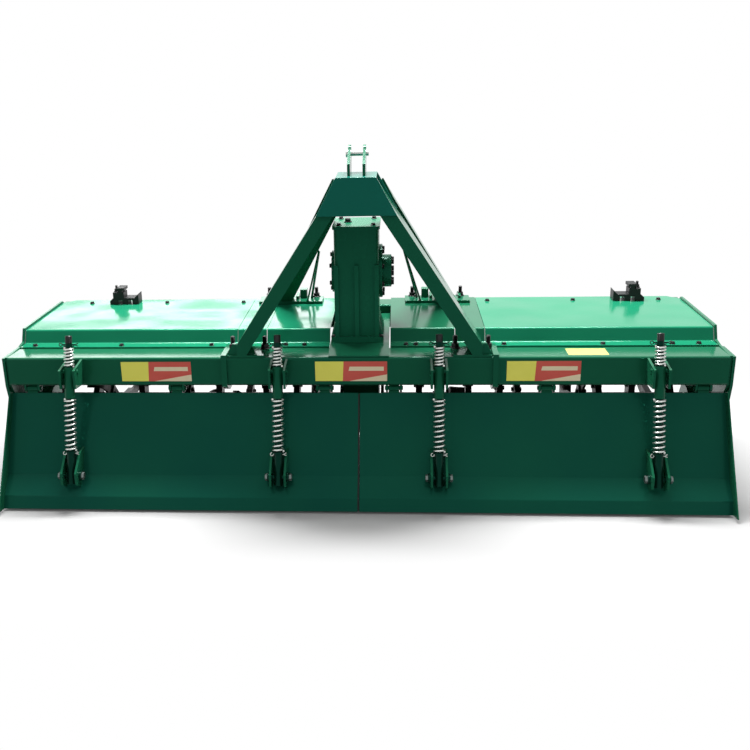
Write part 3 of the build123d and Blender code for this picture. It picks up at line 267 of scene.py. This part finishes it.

# Hood: folded panels of 4 mm sheet over the rotor, with inner panels beside the gearbox.
# Screwed down through the rear flange and along the front beam with black hexagon bolts.
# The hood's tones are painted light: brighter than the plate enamel, though the hood wears the same paint as
# the frame.
HOOD_TONES_WITH_PAINTED_LIGHT = ("#12664A", "#177554")
HOOD_RIPPLE_MM = 300
HOOD_RIPPLE_DEPTH_MM = 12
REAR_FLANGE_MM = (150, 539)
REAR_BOLTS_MM = (-1274, -929, -574, -285, -213, 176, 213, 545, 912, 1167, 1263)
FRONT_EDGE_MM = (632, 588)
FRONT_BOLTS_MM = (-1191, -857, -521, 524, 882, 1235)
HOOD_BOLT_MM = 10
UP = (0, 0, 1)
DOUBLES_MM = 0.001
# A fastener's proportions, as shares of its thread's diameter, and its chamfer as a share of its flats.
WASHER_RADIUS = 1.05
WASHER_THICK = 0.2
ACROSS_FLATS = 1.5
HEAD_TOP = 0.85
NUT_TOP = 1.0
THREAD_PITCH = 0.15
CHAMFER = 0.09

# Painted light: the hood panels take the brighter tones, and the inner right panel keeps the darker plate
# enamel.
sheet_enamel_painted_light = green_enamel("enamel_on_sheet_painted_light", HOOD_RIPPLE_MM, HOOD_RIPPLE_DEPTH_MM, HOOD_TONES_WITH_PAINTED_LIGHT)
dress(sheet_enamel_painted_light, *sides("hood"), "hood_inner_left")
dress(plate_enamel, "hood_inner_right")


def mottled_finish(name, tones, shine, patch_mm, patch_detail, grain_mm, grain_detail, grain_depth_mm,
                   sockets):
    """A surface whose shade and shine change from patch to patch, over a fine grain.

    Where the real grain is only tenths of a millimetre, it is drawn coarser, or it wouldn't show.
    """
    material, tree, shader, place = new_material(name)
    patches = add_node(tree, "ShaderNodeTexNoise", {
        "Vector": place, "Scale": 1 / (patch_mm * MM), "Detail": patch_detail})
    colour = add_node(tree, "ShaderNodeMix", {
        "Factor": patches.outputs["Fac"], MIX_A: linear(tones[0]), MIX_B: linear(tones[1])}, data_type="RGBA")
    roughness = add_node(tree, "ShaderNodeMapRange", {
        "Value": patches.outputs["Fac"], "To Min": shine[0], "To Max": shine[1]})
    grain = add_node(tree, "ShaderNodeTexNoise", {
        "Vector": place, "Scale": 1 / (grain_mm * MM), "Detail": grain_detail})
    skin = add_node(tree, "ShaderNodeBump", {
        "Height": grain.outputs["Fac"], "Strength": 1.0, "Distance": grain_depth_mm * MM})
    wire(tree, shader, {
        "Base Color": colour.outputs[MIX_RESULT], "Roughness": roughness.outputs[0],
        "Normal": skin.outputs["Normal"], **sockets})
    return material


def black_finish(name, tones, shine):
    """Black on steel: uneven in shade, with a fine grain and duller patches."""
    return mottled_finish(
        name, tones, shine, patch_mm=26, patch_detail=3.0, grain_mm=1.8, grain_detail=2.0,
        grain_depth_mm=0.03, sockets={"Specular IOR Level": 0.25})


black_oxide = black_finish("black_oxide_steel", ("#090B0B", "#131616"), (0.28, 0.48))


def seat(place, along):
    """Matrix that stands a piece made on +Z at a place, along a direction."""
    turn = Vector(UP).rotation_difference(Vector(along)).to_matrix().to_4x4()
    return Matrix.Translation(place) @ turn


def turned(shape, where, profile_mm, steps=20):
    """Spin an outline of radius and height about +Z, and stand it at its seat."""
    known = set(shape.verts)
    verts = [shape.verts.new((radius * MM, 0, height * MM)) for radius, height in profile_mm]
    edges = [shape.edges.new(pair) for pair in zip(verts, verts[1:])]
    bmesh.ops.spin(shape, geom=verts + edges, cent=(0, 0, 0), axis=UP, angle=2 * math.pi, steps=steps,
                   use_merge=True, use_duplicate=False)
    made = [vert for vert in shape.verts if vert not in known]
    bmesh.ops.remove_doubles(shape, verts=made, dist=DOUBLES_MM * MM)
    made = [vert for vert in shape.verts if vert not in known]
    bmesh.ops.transform(shape, matrix=where, verts=made)


def hexagon(shape, where, flats_mm, low_mm, high_mm):
    """A hexagon with its upper rim chamfered: a bolt head or a nut."""
    known = set(shape.verts)
    radius = flats_mm / math.sqrt(3) * MM
    height = (high_mm - low_mm) * MM
    middle = low_mm * MM + height / 2
    made = bmesh.ops.create_cone(shape, cap_ends=True, segments=6, radius1=radius, radius2=radius,
                                 depth=height, matrix=Matrix.Translation((0, 0, middle)))
    top = [vert for vert in made["verts"] if vert.co.z > middle]
    rim = [edge for edge in shape.edges if edge.verts[0] in top and edge.verts[1] in top]
    bmesh.ops.bevel(shape, geom=rim, offset=CHAMFER * flats_mm * MM, offset_type="OFFSET", affect="EDGES",
                    segments=2, profile=0.5, material=-1)
    made = [vert for vert in shape.verts if vert not in known]
    bmesh.ops.transform(shape, matrix=where, verts=made)


def washer(shape, where, size_mm):
    """The round washer of a thread's size, with a rounded rim."""
    radius = WASHER_RADIUS * size_mm
    thick = WASHER_THICK * size_mm
    turned(shape, where, [
        (0, 0), (radius, 0), (radius, 0.6 * thick), (radius - 0.5 * thick, thick), (0, thick)])


def bolt(shape, where, size_mm):
    """A hexagon bolt's head on its washer."""
    washer(shape, where, size_mm)
    hexagon(shape, where, ACROSS_FLATS * size_mm, WASHER_THICK * size_mm, HEAD_TOP * size_mm)


def stud(shape, where, size_mm, reach_mm):
    """A threaded stud that stands out of its nut and washer."""
    washer(shape, where, size_mm)
    hexagon(shape, where, ACROSS_FLATS * size_mm, WASHER_THICK * size_mm, NUT_TOP * size_mm)
    pitch = THREAD_PITCH * size_mm
    crest = 0.5 * size_mm
    root = crest - 0.6 * pitch
    height = 0.5 * NUT_TOP * size_mm
    thread = [(0, height)]
    while height < reach_mm - pitch:
        thread += [(root, height), (crest, height + 0.5 * pitch)]
        height += pitch
    thread += [(root, height), (crest - pitch, reach_mm), (0, reach_mm)]
    turned(shape, where, thread, 16)


hood_bolts = bmesh.new()
for x in REAR_BOLTS_MM:
    bolt(hood_bolts, seat(at(x, *REAR_FLANGE_MM), UP), HOOD_BOLT_MM)
for x in FRONT_BOLTS_MM:
    bolt(hood_bolts, seat(at(x, *FRONT_EDGE_MM), UP), HOOD_BOLT_MM)
fix("hood_bolts", hood_bolts, "frame", "black_paint", black_oxide)

# Gearbox: sand-cast iron case with ribs, lid, side covers, bed and final drive case.
# The castings are painted with the rest, and their tones are set brighter than the plate's: painted light
# against the shade of the mast's cap. Black bolts hold lid and covers, and an oil plug stands on top.
CASTING_TONES_WITH_PAINTED_LIGHT = ("#15573F", "#1B6648")
CASTING_RIPPLE_MM = 120
CASTING_RIPPLE_DEPTH_MM = 0.5
SAND_GRAIN_MM = 3.2      # coarser than real moulding sand, or it wouldn't show
SAND_GRAIN_DEPTH_MM = 0.22
CASTING_ROUGHNESS = 0.26
GEARBOX_X_MM = -10
GEARBOX_BOLT_MM = 10
LID_TOP_MM = 989
LID_BOLT_X_MM = (-64, 64)
LID_BOLT_Y_MM = (196, 350)
PLUG_MM = (-34, 274)
PLUG_OUTLINE_MM = [(0, 0), (15, 0), (15, 3), (11, 4), (11, 12), (8, 15), (0, 15)]
DRIVE_LINE_MM = (277, 800)
LEFT_COVER_MM = -106
LEFT_COVER_RING_MM = 66
RIGHT_COVER_MM = 86
RIGHT_COVER_RING_MM = 88
BOSS_FACE_MM = 120
BOSS_RING_MM = 46
BOSS_BOLT_MM = 12
FOOT_TOP_MM = 567
FOOT_BOLT_X_MM = (-90, 90)
FOOT_BOLT_Y_MM = (165, 389)

# Painted light: the castings' enamel is brighter than the plate enamel of the same paint.
casting_enamel_painted_light = green_enamel(
    "enamel_on_casting_painted_light", CASTING_RIPPLE_MM, CASTING_RIPPLE_DEPTH_MM, CASTING_TONES_WITH_PAINTED_LIGHT, SAND_GRAIN_MM,
    SAND_GRAIN_DEPTH_MM, CASTING_ROUGHNESS)
dress(casting_enamel_painted_light, "gearbox_case", "gearbox_cover", "final_drive_case", "bearing_covers", "input_housing",
      "rotor_bearings")
dress(plate_enamel, "gearbox_bed")


def bolt_ring(shape, x, centre_mm, radius_mm, count, way, size_mm, start=0.5):
    """A ring of bolts on an upright face that looks to the left or to the right."""
    for step in range(count):
        angle = 2 * math.pi * (step + start) / count
        y = centre_mm[0] + radius_mm * math.cos(angle)
        z = centre_mm[1] + radius_mm * math.sin(angle)
        bolt(shape, seat(at(x, y, z), (way, 0, 0)), size_mm)


gearbox_bolts = bmesh.new()
for x in LID_BOLT_X_MM:
    for y in LID_BOLT_Y_MM:
        bolt(gearbox_bolts, seat(at(GEARBOX_X_MM + x, y, LID_TOP_MM), UP), GEARBOX_BOLT_MM)
turned(gearbox_bolts, seat(at(GEARBOX_X_MM + PLUG_MM[0], PLUG_MM[1], LID_TOP_MM), UP), PLUG_OUTLINE_MM)
bolt_ring(gearbox_bolts, LEFT_COVER_MM, DRIVE_LINE_MM, LEFT_COVER_RING_MM, 6, -1, GEARBOX_BOLT_MM)
bolt_ring(gearbox_bolts, RIGHT_COVER_MM, DRIVE_LINE_MM, RIGHT_COVER_RING_MM, 8, 1, GEARBOX_BOLT_MM)
bolt_ring(gearbox_bolts, BOSS_FACE_MM, DRIVE_LINE_MM, BOSS_RING_MM, 6, 1, BOSS_BOLT_MM, start=0)
for x in FOOT_BOLT_X_MM:
    for y in FOOT_BOLT_Y_MM:
        bolt(gearbox_bolts, seat(at(GEARBOX_X_MM + x, y, FOOT_TOP_MM), UP), GEARBOX_BOLT_MM)
fix("gearbox_bolts", gearbox_bolts, "frame", "black_paint", black_oxide)

# Mast: two folded legs under a cap, the top link ears, and channel legs with braces to the front.
# Welded plate, enamelled, on foot plates that long black studs hold to the beam; the cap's tones are set
# brighter and bluer than the legs' same paint: painted sky light.
CAP_TONES_WITH_PAINTED_SKY_LIGHT = ("#135C4F", "#17695A")
HEAD_PLATE_MM = ((12, 1092), (128, 1092), (92, 1160), (12, 1160))
HEAD_PLATE_FACE_MM = 172
HEAD_PLATE_THICK_MM = 4
MAST_STUD_X_MM = (-480, -358, 358, 480)
MAST_FOOT_MM = (96, 543)
MAST_STUD_MM = 18
MAST_STUD_REACH_MM = 48

mast_nodes = [*sides("mast_leg"), "mast_cap", "front_struts"]
dress(plate_enamel, *mast_nodes, "top_link_ears")
# Painted sky light: the cap takes brighter, bluer tones of the same enamel.
dress(green_enamel("enamel_on_cap_painted_sky_light", PLATE_RIPPLE_MM, PLATE_RIPPLE_DEPTH_MM, CAP_TONES_WITH_PAINTED_SKY_LIGHT), "mast_cap")
soften(*mast_nodes)
head_plates = bmesh.new()
for way in (-1, 1):
    film(head_plates, [at(way * x, HEAD_PLATE_FACE_MM, z) for x, z in HEAD_PLATE_MM], 0,
         (0, -HEAD_PLATE_THICK_MM * MM, 0))
fix("strut_head_plates", head_plates, "frame", "green_paint", plate_enamel)
mast_studs = bmesh.new()
for x in MAST_STUD_X_MM:
    stud(mast_studs, seat(at(x, *MAST_FOOT_MM), UP), MAST_STUD_MM, MAST_STUD_REACH_MM)
fix("mast_studs", mast_studs, "frame", "black_paint", black_oxide)

# Three-point hitch: brackets bolted through base plates on the front beam, and the link pins.
# Brackets are enamelled plate; the pins and the splined input shaft are zinc-plated bar.
HITCH_STUD_X_MM = (-413, -207, 207, 413)
HITCH_BASE_MM = (684, 600)
HITCH_STUD_MM = 16
HITCH_STUD_REACH_MM = 42

dress(plate_enamel, *sides("hitch_bracket"))
soften(*sides("hitch_bracket"))


def plated_steel(name, tones, shine):
    """Zinc on steel: a mottled grey metal with duller spangle."""
    return mottled_finish(
        name, tones, shine, patch_mm=7, patch_detail=3.0, grain_mm=1.2, grain_detail=1.0,
        grain_depth_mm=0.02, sockets={"Metallic": 1.0})


zinc = plated_steel("zinc_plated_steel", ("#A9ADAB", "#C9CBC6"), (0.22, 0.42))
dress(zinc, "hitch_pins", "top_link_pin", "input_shaft")
hitch_studs = bmesh.new()
for x in HITCH_STUD_X_MM:
    stud(hitch_studs, seat(at(x, *HITCH_BASE_MM), UP), HITCH_STUD_MM, HITCH_STUD_REACH_MM)
fix("hitch_studs", hitch_studs, "frame", "black_paint", black_oxide)

# Tool clamps and skids: flame-cut bar and bent strip, painted black.
# Each clamp is drawn down on the front beam by a stud through its block.
CLAMP_STUD_X_MM = (-1080, 1146)
CLAMP_TOP_MM = (645, 640)
CLAMP_STUD_MM = 12
CLAMP_STUD_REACH_MM = 26

black_paint = black_finish("black_machinery_paint", ("#0A0D0C", "#141818"), (0.30, 0.50))
dress(black_paint, "front_clamps", "skids")
soften("front_clamps")
clamp_studs = bmesh.new()
for x in CLAMP_STUD_X_MM:
    stud(clamp_studs, seat(at(x, *CLAMP_TOP_MM), UP), CLAMP_STUD_MM, CLAMP_STUD_REACH_MM)
fix("clamp_studs", clamp_studs, "frame", "black_paint", black_oxide)

# Rotor: a tube with welded holders and forged tines, each held by one bolt through its holder.
# Tube and holders are painted black; the tines are bare forged steel, darkened by the heat.
ROTOR_LINE_MM = (330, 245)
TINES_PER_SIDE = 28
FIRST_TINE_MM = 150
TINE_PITCH_MM = 40
TINE_STEP_DEG = 137
SIDE_TURN_DEG = 90
TINE_BOLT_RADIUS_MM = 70
HOLDER_HALF_MM = 12.5
TINE_BOLT_MM = 10
BEARING_FACE_MM = 1350
BEARING_RING_MM = 40
BEARING_BOLT_MM = 8

dress(black_paint, "rotor_shaft", "tine_holders")
# Forged steel: nearly black scale that shines in some patches and is dull and pitted in others.
forged_steel = mottled_finish(
    "forged_tine_steel", ("#151311", "#2A2723"), (0.32, 0.62), patch_mm=30, patch_detail=4.0, grain_mm=5,
    grain_detail=3.0, grain_depth_mm=0.12, sockets={"Metallic": 0.4, "Specular IOR Level": 0.3})
dress(forged_steel, "tines_right_bent", "tines_left_bent")
tine_bolts = bmesh.new()
for way in (-1, 1):
    for index in range(TINES_PER_SIDE):
        angle = math.radians(TINE_STEP_DEG * index + SIDE_TURN_DEG * way)
        middle = at(way * (FIRST_TINE_MM + TINE_PITCH_MM * index),
                    ROTOR_LINE_MM[0] - TINE_BOLT_RADIUS_MM * math.sin(angle),
                    ROTOR_LINE_MM[1] + TINE_BOLT_RADIUS_MM * math.cos(angle))
        for face in (1, -1):
            along = Vector((face, 0, 0))
            bolt(tine_bolts, seat(middle + HOLDER_HALF_MM * MM * along, along), TINE_BOLT_MM)
fix("tine_bolts", tine_bolts, "rotor", "black_paint", black_oxide)
bearing_bolts = bmesh.new()
for way in (-1, 1):
    bolt_ring(bearing_bolts, way * BEARING_FACE_MM, ROTOR_LINE_MM, BEARING_RING_MM, 6, way, BEARING_BOLT_MM)
fix("bearing_bolts", bearing_bolts, "frame", "black_paint", black_oxide)

# Trailing boards: two wide boards of folded 5 mm sheet, hung on pins under the beam.
# Sheet steel with welded knuckles, rod lugs and end flanges, enamelled; the wide sheet waves a little.
# The boards' tones drift from a dark blue-green to green; the blue-green patches are painted reflection of the
# sky.
BOARD_TONES_WITH_PAINTED_REFLECTION = ("#083C36", "#14523C")
BOARD_RIPPLE_MM = 420
BOARD_RIPPLE_DEPTH_MM = 5

# Painted reflection: blue-green patches in the boards' enamel.
board_enamel_painted_reflection = green_enamel("enamel_on_boards_painted_reflection", BOARD_RIPPLE_MM, BOARD_RIPPLE_DEPTH_MM, BOARD_TONES_WITH_PAINTED_REFLECTION)
dress(board_enamel_painted_reflection, *sides("board"))
dress(plate_enamel, *sides("board_fittings"), "hinge_lugs")
soften(*sides("board"))

# Edge seal: a moulded rubber lip pressed on the left board's inner edge.
# It follows the board's folds and nearly closes the gap to the right board.
BOARD_LINE_MM = ((15, 387), (-126, 116), (-184, 52), (-201, 11))
LIP_OUTLINE_MM = ((-3, -2), (1.2, -2), (2, 0), (1.2, 2), (-3, 2))

# Black rubber: dull, with a greyer bloom in patches and a fine moulded grain.
rubber = mottled_finish(
    "black_rubber", ("#0A0B0B", "#151716"), (0.55, 0.75), patch_mm=14, patch_detail=3.0, grain_mm=1.5,
    grain_detail=1.0, grain_depth_mm=0.05, sockets={"Specular IOR Level": 0.3})
seal = bmesh.new()
top_y, top_z = BOARD_LINE_MM[0]
end = seal.faces.new([seal.verts.new(at(x, top_y + y, top_z)) for x, y in LIP_OUTLINE_MM])
for (y, z), (next_y, next_z) in zip(BOARD_LINE_MM, BOARD_LINE_MM[1:]):
    grown = bmesh.ops.extrude_face_region(seal, geom=[end])["geom"]
    bmesh.ops.translate(seal, verts=[part for part in grown if isinstance(part, bmesh.types.BMVert)],
                        vec=Vector((0, next_y - y, next_z - z)) * MM)
    end = next(part for part in grown if isinstance(part, bmesh.types.BMFace))
fix("board_edge_seal", seal, "trailing_board_left", "black_paint", rubber)

# Spring rods: each slides in a sleeve that swings between two ears on the beam.
# Drawn bar and tube, enamelled, with bright wound springs above and below the sleeve.
# The rods' enamel is darker than the frame's green: painted shade, for the shadow inside the springs.
ROD_TONES_WITH_PAINTED_SHADE = ("#061F18", "#0A2C22")
ROD_RIPPLE_DEPTH_MM = 0.2
ROD_PLACES = [f"{side}_{place}" for side in ("left", "right") for place in ("inner", "outer")]
ROD_X_MM = {"left_inner": -293, "left_outer": -1070, "right_inner": 293, "right_outer": 1070}
ROD_PIVOT_MM = (-65, 503)
ROD_AXIS = (0, 0.25766, 0.96623)
WIRE_MM = 7
WIRE_SIDES = 10
TURN_STEPS = 20
CLOSED_TURN = (1, 7.2)
MAIN_RADIUS_MM = 19.5
MAIN_START_MM = -291.8
MAIN_TURNS = (9.5, 18.5)
UPPER_RADIUS_MM = 16.5
UPPER_START_MM = 19.8
UPPER_TURNS = (4.5, 12.1)

dress(plate_enamel, "rod_brackets", *[f"sleeve_{name}" for name in ROD_PLACES])
# Painted shade: the rods take the near-black enamel.
rod_enamel_painted_shade = green_enamel("enamel_on_rods_painted_shade", PLATE_RIPPLE_MM, ROD_RIPPLE_DEPTH_MM, ROD_TONES_WITH_PAINTED_SHADE)
dress(rod_enamel_painted_shade, *[f"rod_{name}" for name in ROD_PLACES])
spring_wire = plated_steel("bright_spring_wire", ("#C2C6C3", "#DDDFDA"), (0.18, 0.38))


def coil(shape, where, radius_mm, start_mm, stretches):
    """Wind wire about +Z from a height: each stretch has its number of turns and its pitch in mm."""
    known = set(shape.verts)
    start = Matrix.Translation(Vector((radius_mm, 0, start_mm)) * MM) @ Matrix.Rotation(math.pi / 2, 4, "X")
    ring = bmesh.ops.create_circle(shape, cap_ends=False, segments=WIRE_SIDES, radius=0.5 * WIRE_MM * MM,
                                   matrix=start)
    first = list({edge for vert in ring["verts"] for edge in vert.link_edges})
    ends = ring["verts"] + first
    for turns, pitch in stretches:
        steps = round(TURN_STEPS * turns)
        wound = bmesh.ops.spin(
            shape, geom=ends, cent=(0, 0, 0), axis=UP, dvec=(0, 0, pitch * turns / steps * MM),
            angle=2 * math.pi * turns, steps=steps, use_merge=False, use_duplicate=False)
        ends = wound["geom_last"]
    last = [part for part in ends if isinstance(part, bmesh.types.BMEdge)]
    bmesh.ops.edgeloop_fill(shape, edges=first)
    bmesh.ops.edgeloop_fill(shape, edges=last)
    made = [vert for vert in shape.verts if vert not in known]
    bmesh.ops.transform(shape, matrix=where, verts=made)


for name in ROD_PLACES:
    pivot = at(ROD_X_MM[name], *ROD_PIVOT_MM)
    stand = seat(pivot, ROD_AXIS)
    main_coil = bmesh.new()
    coil(main_coil, stand, MAIN_RADIUS_MM, MAIN_START_MM, (CLOSED_TURN, MAIN_TURNS, CLOSED_TURN))
    main_piece = fix(f"main_coil_{name}", main_coil, f"spring_rod_{name}", "spring_steel", spring_wire)
    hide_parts(f"main_spring_{name}")
    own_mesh(main_piece)
    upper_coil = bmesh.new()
    coil(upper_coil, stand, UPPER_RADIUS_MM, UPPER_START_MM, (CLOSED_TURN, UPPER_TURNS, CLOSED_TURN))
    upper_piece = fix(f"upper_coil_{name}", upper_coil, f"guide_{name}", "spring_steel", spring_wire)
    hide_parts(f"upper_spring_{name}")

# Rod ends: the tip of each rod is threaded, and split pins hold the washers of both springs.
# At the foot a plated bolt with head and nut goes through the board's lugs.
ROD_ACROSS = (0, 0.96623, -0.25766)
LOWER_PIN_MM = -303.5
LOWER_PIN_HALF_MM = 29
TOP_PIN_MM = 100.4
TOP_PIN_HALF_MM = 36
# A split pin's proportions, as shares of its wire, and its shank and legs as shares of its half length.
PIN_WIRE_MM = 3
EYE_RADIUS = 1.9
LEG_RADIUS = 0.6
SHANK_RADIUS = 0.9
SHANK_START = 3.4
SHANK_SHARE = 0.62
LEG_SHARE = 0.42
LEG_SPREAD = 0.4
FOOT_MM = (-165, 128)
FOOT_HEAD_X_MM = 40.3
FOOT_FLATS_MM = 24
FOOT_HEAD_MM = (-0.5, 9)
TIP_RIDGES = 9
TIP_PITCH_MM = 3
TIP_LOW_MM = 104
TIP_TOP_MM = 133.5
TIP_ROOT_MM = 12.1
TIP_CREST_MM = 12.9
TIP_END_MM = 10.5

dull_zinc = plated_steel("weathered_zinc_plate", ("#5E6664", "#7C8482"), (0.36, 0.56))


def split_pin(shape, middle, half_mm):
    """A split pin along X: the eye, the shank through the rod, and the two ends bent apart."""
    left = middle - Vector((half_mm * MM, 0, 0))
    right = middle + Vector((SHANK_SHARE * half_mm * MM, 0, 0))
    eye_radius = EYE_RADIUS * PIN_WIRE_MM
    leg_radius = LEG_RADIUS * PIN_WIRE_MM
    eighths = [math.pi * step / 4 for step in range(9)]
    eye = [(eye_radius + leg_radius * math.cos(turn), leg_radius * math.sin(turn)) for turn in eighths]
    turned(shape, seat(left + Vector((eye_radius * MM, 0, 0)), ROD_ACROSS), eye, 16)
    shank_start = SHANK_START * PIN_WIRE_MM
    shank_radius = SHANK_RADIUS * PIN_WIRE_MM
    shank_end = (1 + SHANK_SHARE) * half_mm
    turned(shape, seat(left, (1, 0, 0)), [
        (0, shank_start), (shank_radius, shank_start + 1), (shank_radius, shank_end), (0, shank_end + 1)], 12)
    leg = LEG_SHARE * half_mm
    for way in (-1, 1):
        turned(shape, seat(right, Vector((1, 0, 0)) + LEG_SPREAD * way * Vector(ROD_AXIS)), [
            (0, -2), (leg_radius, -1), (leg_radius, leg), (0.5 * leg_radius, leg + 1), (0, leg + 1)], 10)


tip = [(0, TIP_LOW_MM)]
for ridge in range(TIP_RIDGES):
    root = TIP_LOW_MM + 1 + TIP_PITCH_MM * ridge
    tip += [(TIP_ROOT_MM, root), (TIP_CREST_MM, root + 0.5 * TIP_PITCH_MM)]
tip += [(TIP_ROOT_MM, TIP_TOP_MM - 1.5), (TIP_END_MM, TIP_TOP_MM), (0, TIP_TOP_MM)]
for name in ROD_PLACES:
    pivot = at(ROD_X_MM[name], *ROD_PIVOT_MM)
    foot = at(ROD_X_MM[name], *FOOT_MM)
    pins = bmesh.new()
    split_pin(pins, pivot + Vector(ROD_AXIS) * (LOWER_PIN_MM * MM), LOWER_PIN_HALF_MM)
    fix(f"rod_pins_{name}", pins, f"spring_rod_{name}", "bare_steel", zinc)
    foot_bolt = bmesh.new()
    for way in (-1, 1):
        along = Vector((way, 0, 0))
        hexagon(foot_bolt, seat(foot + FOOT_HEAD_X_MM * MM * along, along), FOOT_FLATS_MM, *FOOT_HEAD_MM)
    fix(f"foot_bolt_{name}", foot_bolt, f"spring_rod_{name}", "bare_steel", dull_zinc)
    ends = bmesh.new()
    split_pin(ends, pivot + Vector(ROD_AXIS) * (TOP_PIN_MM * MM), TOP_PIN_HALF_MM)
    turned(ends, seat(pivot, ROD_AXIS), tip)
    fix(f"rod_ends_{name}", ends, f"spring_rod_{name}", "black_paint", black_oxide)

# Studio floor: a wide disc of pale matt paint that keeps the machine's shadow.
# Past the machine's footprint it fades to white, so that floor and background are one.
FLOOR_RADIUS_M = 40
FOOTPRINT_M = (1.3, 0.4, 0)
FADE_M = 0.9
FLOOR_TONES = ("#6C6C6C", "#A2A2A2")
WHITE = (1, 1, 1, 1)
BLACK = (0, 0, 0, 1)

floor_shape = bmesh.new()
bmesh.ops.create_circle(floor_shape, cap_ends=True, segments=64, radius=FLOOR_RADIUS_M)
floor_mesh = bpy.data.meshes.new("floor")
floor_shape.to_mesh(floor_mesh)
floor_shape.free()
floor = bpy.data.objects.new("floor", floor_mesh)
bpy.context.scene.collection.objects.link(floor)


def plainly_seen(tree):
    """1 where a surface is looked at straight, in a mirror or through glass, and 0 where it lights things."""
    path = add_node(tree, "ShaderNodeLightPath").outputs
    direct = add_node(tree, "ShaderNodeMath", {
        0: path["Is Camera Ray"], 1: path["Is Glossy Ray"]}, operation="MAXIMUM")
    return add_node(tree, "ShaderNodeMath", {
        0: direct.outputs[0], 1: path["Is Transmission Ray"]}, operation="MAXIMUM").outputs[0]


# Floor paint: it lights the machine as a mid grey, and is seen as a paler grey that runs out to white.
floor_paint, tree, shader, place = new_material("pale_floor")
seen = plainly_seen(tree)
mirrored = add_node(tree, "ShaderNodeVectorMath", {0: place}, operation="ABSOLUTE")
beyond = add_node(tree, "ShaderNodeVectorMath", {
    0: mirrored.outputs[0], 1: FOOTPRINT_M}, operation="SUBTRACT")
outside = add_node(tree, "ShaderNodeVectorMath", {0: beyond.outputs[0], 1: (0, 0, 0)}, operation="MAXIMUM")
away = add_node(tree, "ShaderNodeVectorMath", {0: outside.outputs[0]}, operation="LENGTH")
far = add_node(tree, "ShaderNodeMapRange", {
    "Value": away.outputs["Value"], "From Min": 0.0, "From Max": FADE_M}, interpolation_type="SMOOTHSTEP")
white = add_node(tree, "ShaderNodeMath", {0: seen, 1: far.outputs[0]}, operation="MULTIPLY")
near = add_node(tree, "ShaderNodeMix", {
    "Factor": seen, MIX_A: linear(FLOOR_TONES[0]), MIX_B: linear(FLOOR_TONES[1])}, data_type="RGBA")
paint = add_node(tree, "ShaderNodeMix", {
    "Factor": white.outputs[0], MIX_A: near.outputs[MIX_RESULT], MIX_B: BLACK}, data_type="RGBA")
wire(tree, shader, {
    "Base Color": paint.outputs[MIX_RESULT], "Emission Strength": white.outputs[0], "Emission Color": WHITE,
    "Roughness": 0.9, "Specular IOR Level": 0.0})
floor_mesh.materials.append(floor_paint)

# Studio light: a white surround, a long softbox high in front, a strip behind and one low at the far left.
# The high one lights the tops and leaves the boards in the beam's shade; the low one shines in the left hood.
SKY_LIGHT = 0.5
SKY_SEEN = 1.0

world = bpy.data.worlds.new("studio")
bpy.context.scene.world = world
world.use_nodes = True
sky = world.node_tree
level = add_node(sky, "ShaderNodeMapRange", {
    "Value": plainly_seen(sky), "To Min": SKY_LIGHT, "To Max": SKY_SEEN})
wire(sky, sky.nodes["Background"], {"Color": WHITE, "Strength": level.outputs[0]})


def softbox(name, place, aim, width, height, watts):
    """A soft rectangular lamp that points at a place."""
    lamp = bpy.data.lights.new(name, "AREA")
    lamp.shape = "RECTANGLE"
    lamp.size = width
    lamp.size_y = height
    lamp.energy = watts
    made = bpy.data.objects.new(name, lamp)
    made.location = place
    made.rotation_euler = (Vector(aim) - Vector(place)).to_track_quat("-Z", "Y").to_euler()
    bpy.context.scene.collection.objects.link(made)


softbox("overhead", place=(0.0, 1.5, 4.9), aim=(0, 0, 0.5), width=4.0, height=0.8, watts=980)
softbox("rear_strip", place=(0.0, -1.9, 3.9), aim=(0, -0.1, 0.56), width=5.0, height=0.3, watts=20)
softbox("far_left", place=(-2.7, 6.5, 2.5), aim=(-0.6, 0, 0.6), width=4.4, height=0.55, watts=37)

# Camera: behind the machine and a little above it, as the photograph was taken.
# Its lens and shift give the photograph's framing, and a slight roll its horizon.
CAMERA_PLACE_M = (0.141, -3.576, 1.569)
CAMERA_TURN = math.radians(4.49)
CAMERA_TILT = math.radians(18.5)
CAMERA_ROLL = math.radians(-1.5)
LENS_MM = 45.07
SHIFT_X = 0.064
SHIFT_Y = 0.0013

ahead = Vector((-math.sin(CAMERA_TURN) * math.cos(CAMERA_TILT),
                math.cos(CAMERA_TURN) * math.cos(CAMERA_TILT), -math.sin(CAMERA_TILT)))
across = Vector((math.cos(CAMERA_TURN), math.sin(CAMERA_TURN), 0))
upright = Matrix((across, across.cross(ahead), -ahead)).transposed()
upright = (upright @ Matrix.Rotation(CAMERA_ROLL, 3, "Z")).to_4x4()
camera = bpy.data.objects.new("camera", bpy.data.cameras.new("camera"))
camera.data.lens = LENS_MM
camera.data.shift_x = SHIFT_X
camera.data.shift_y = SHIFT_Y
camera.matrix_world = Matrix.Translation(CAMERA_PLACE_M) @ upright
bpy.context.scene.collection.objects.link(camera)
bpy.context.scene.camera = camera
bpy.context.scene.view_settings.view_transform = "Standard"
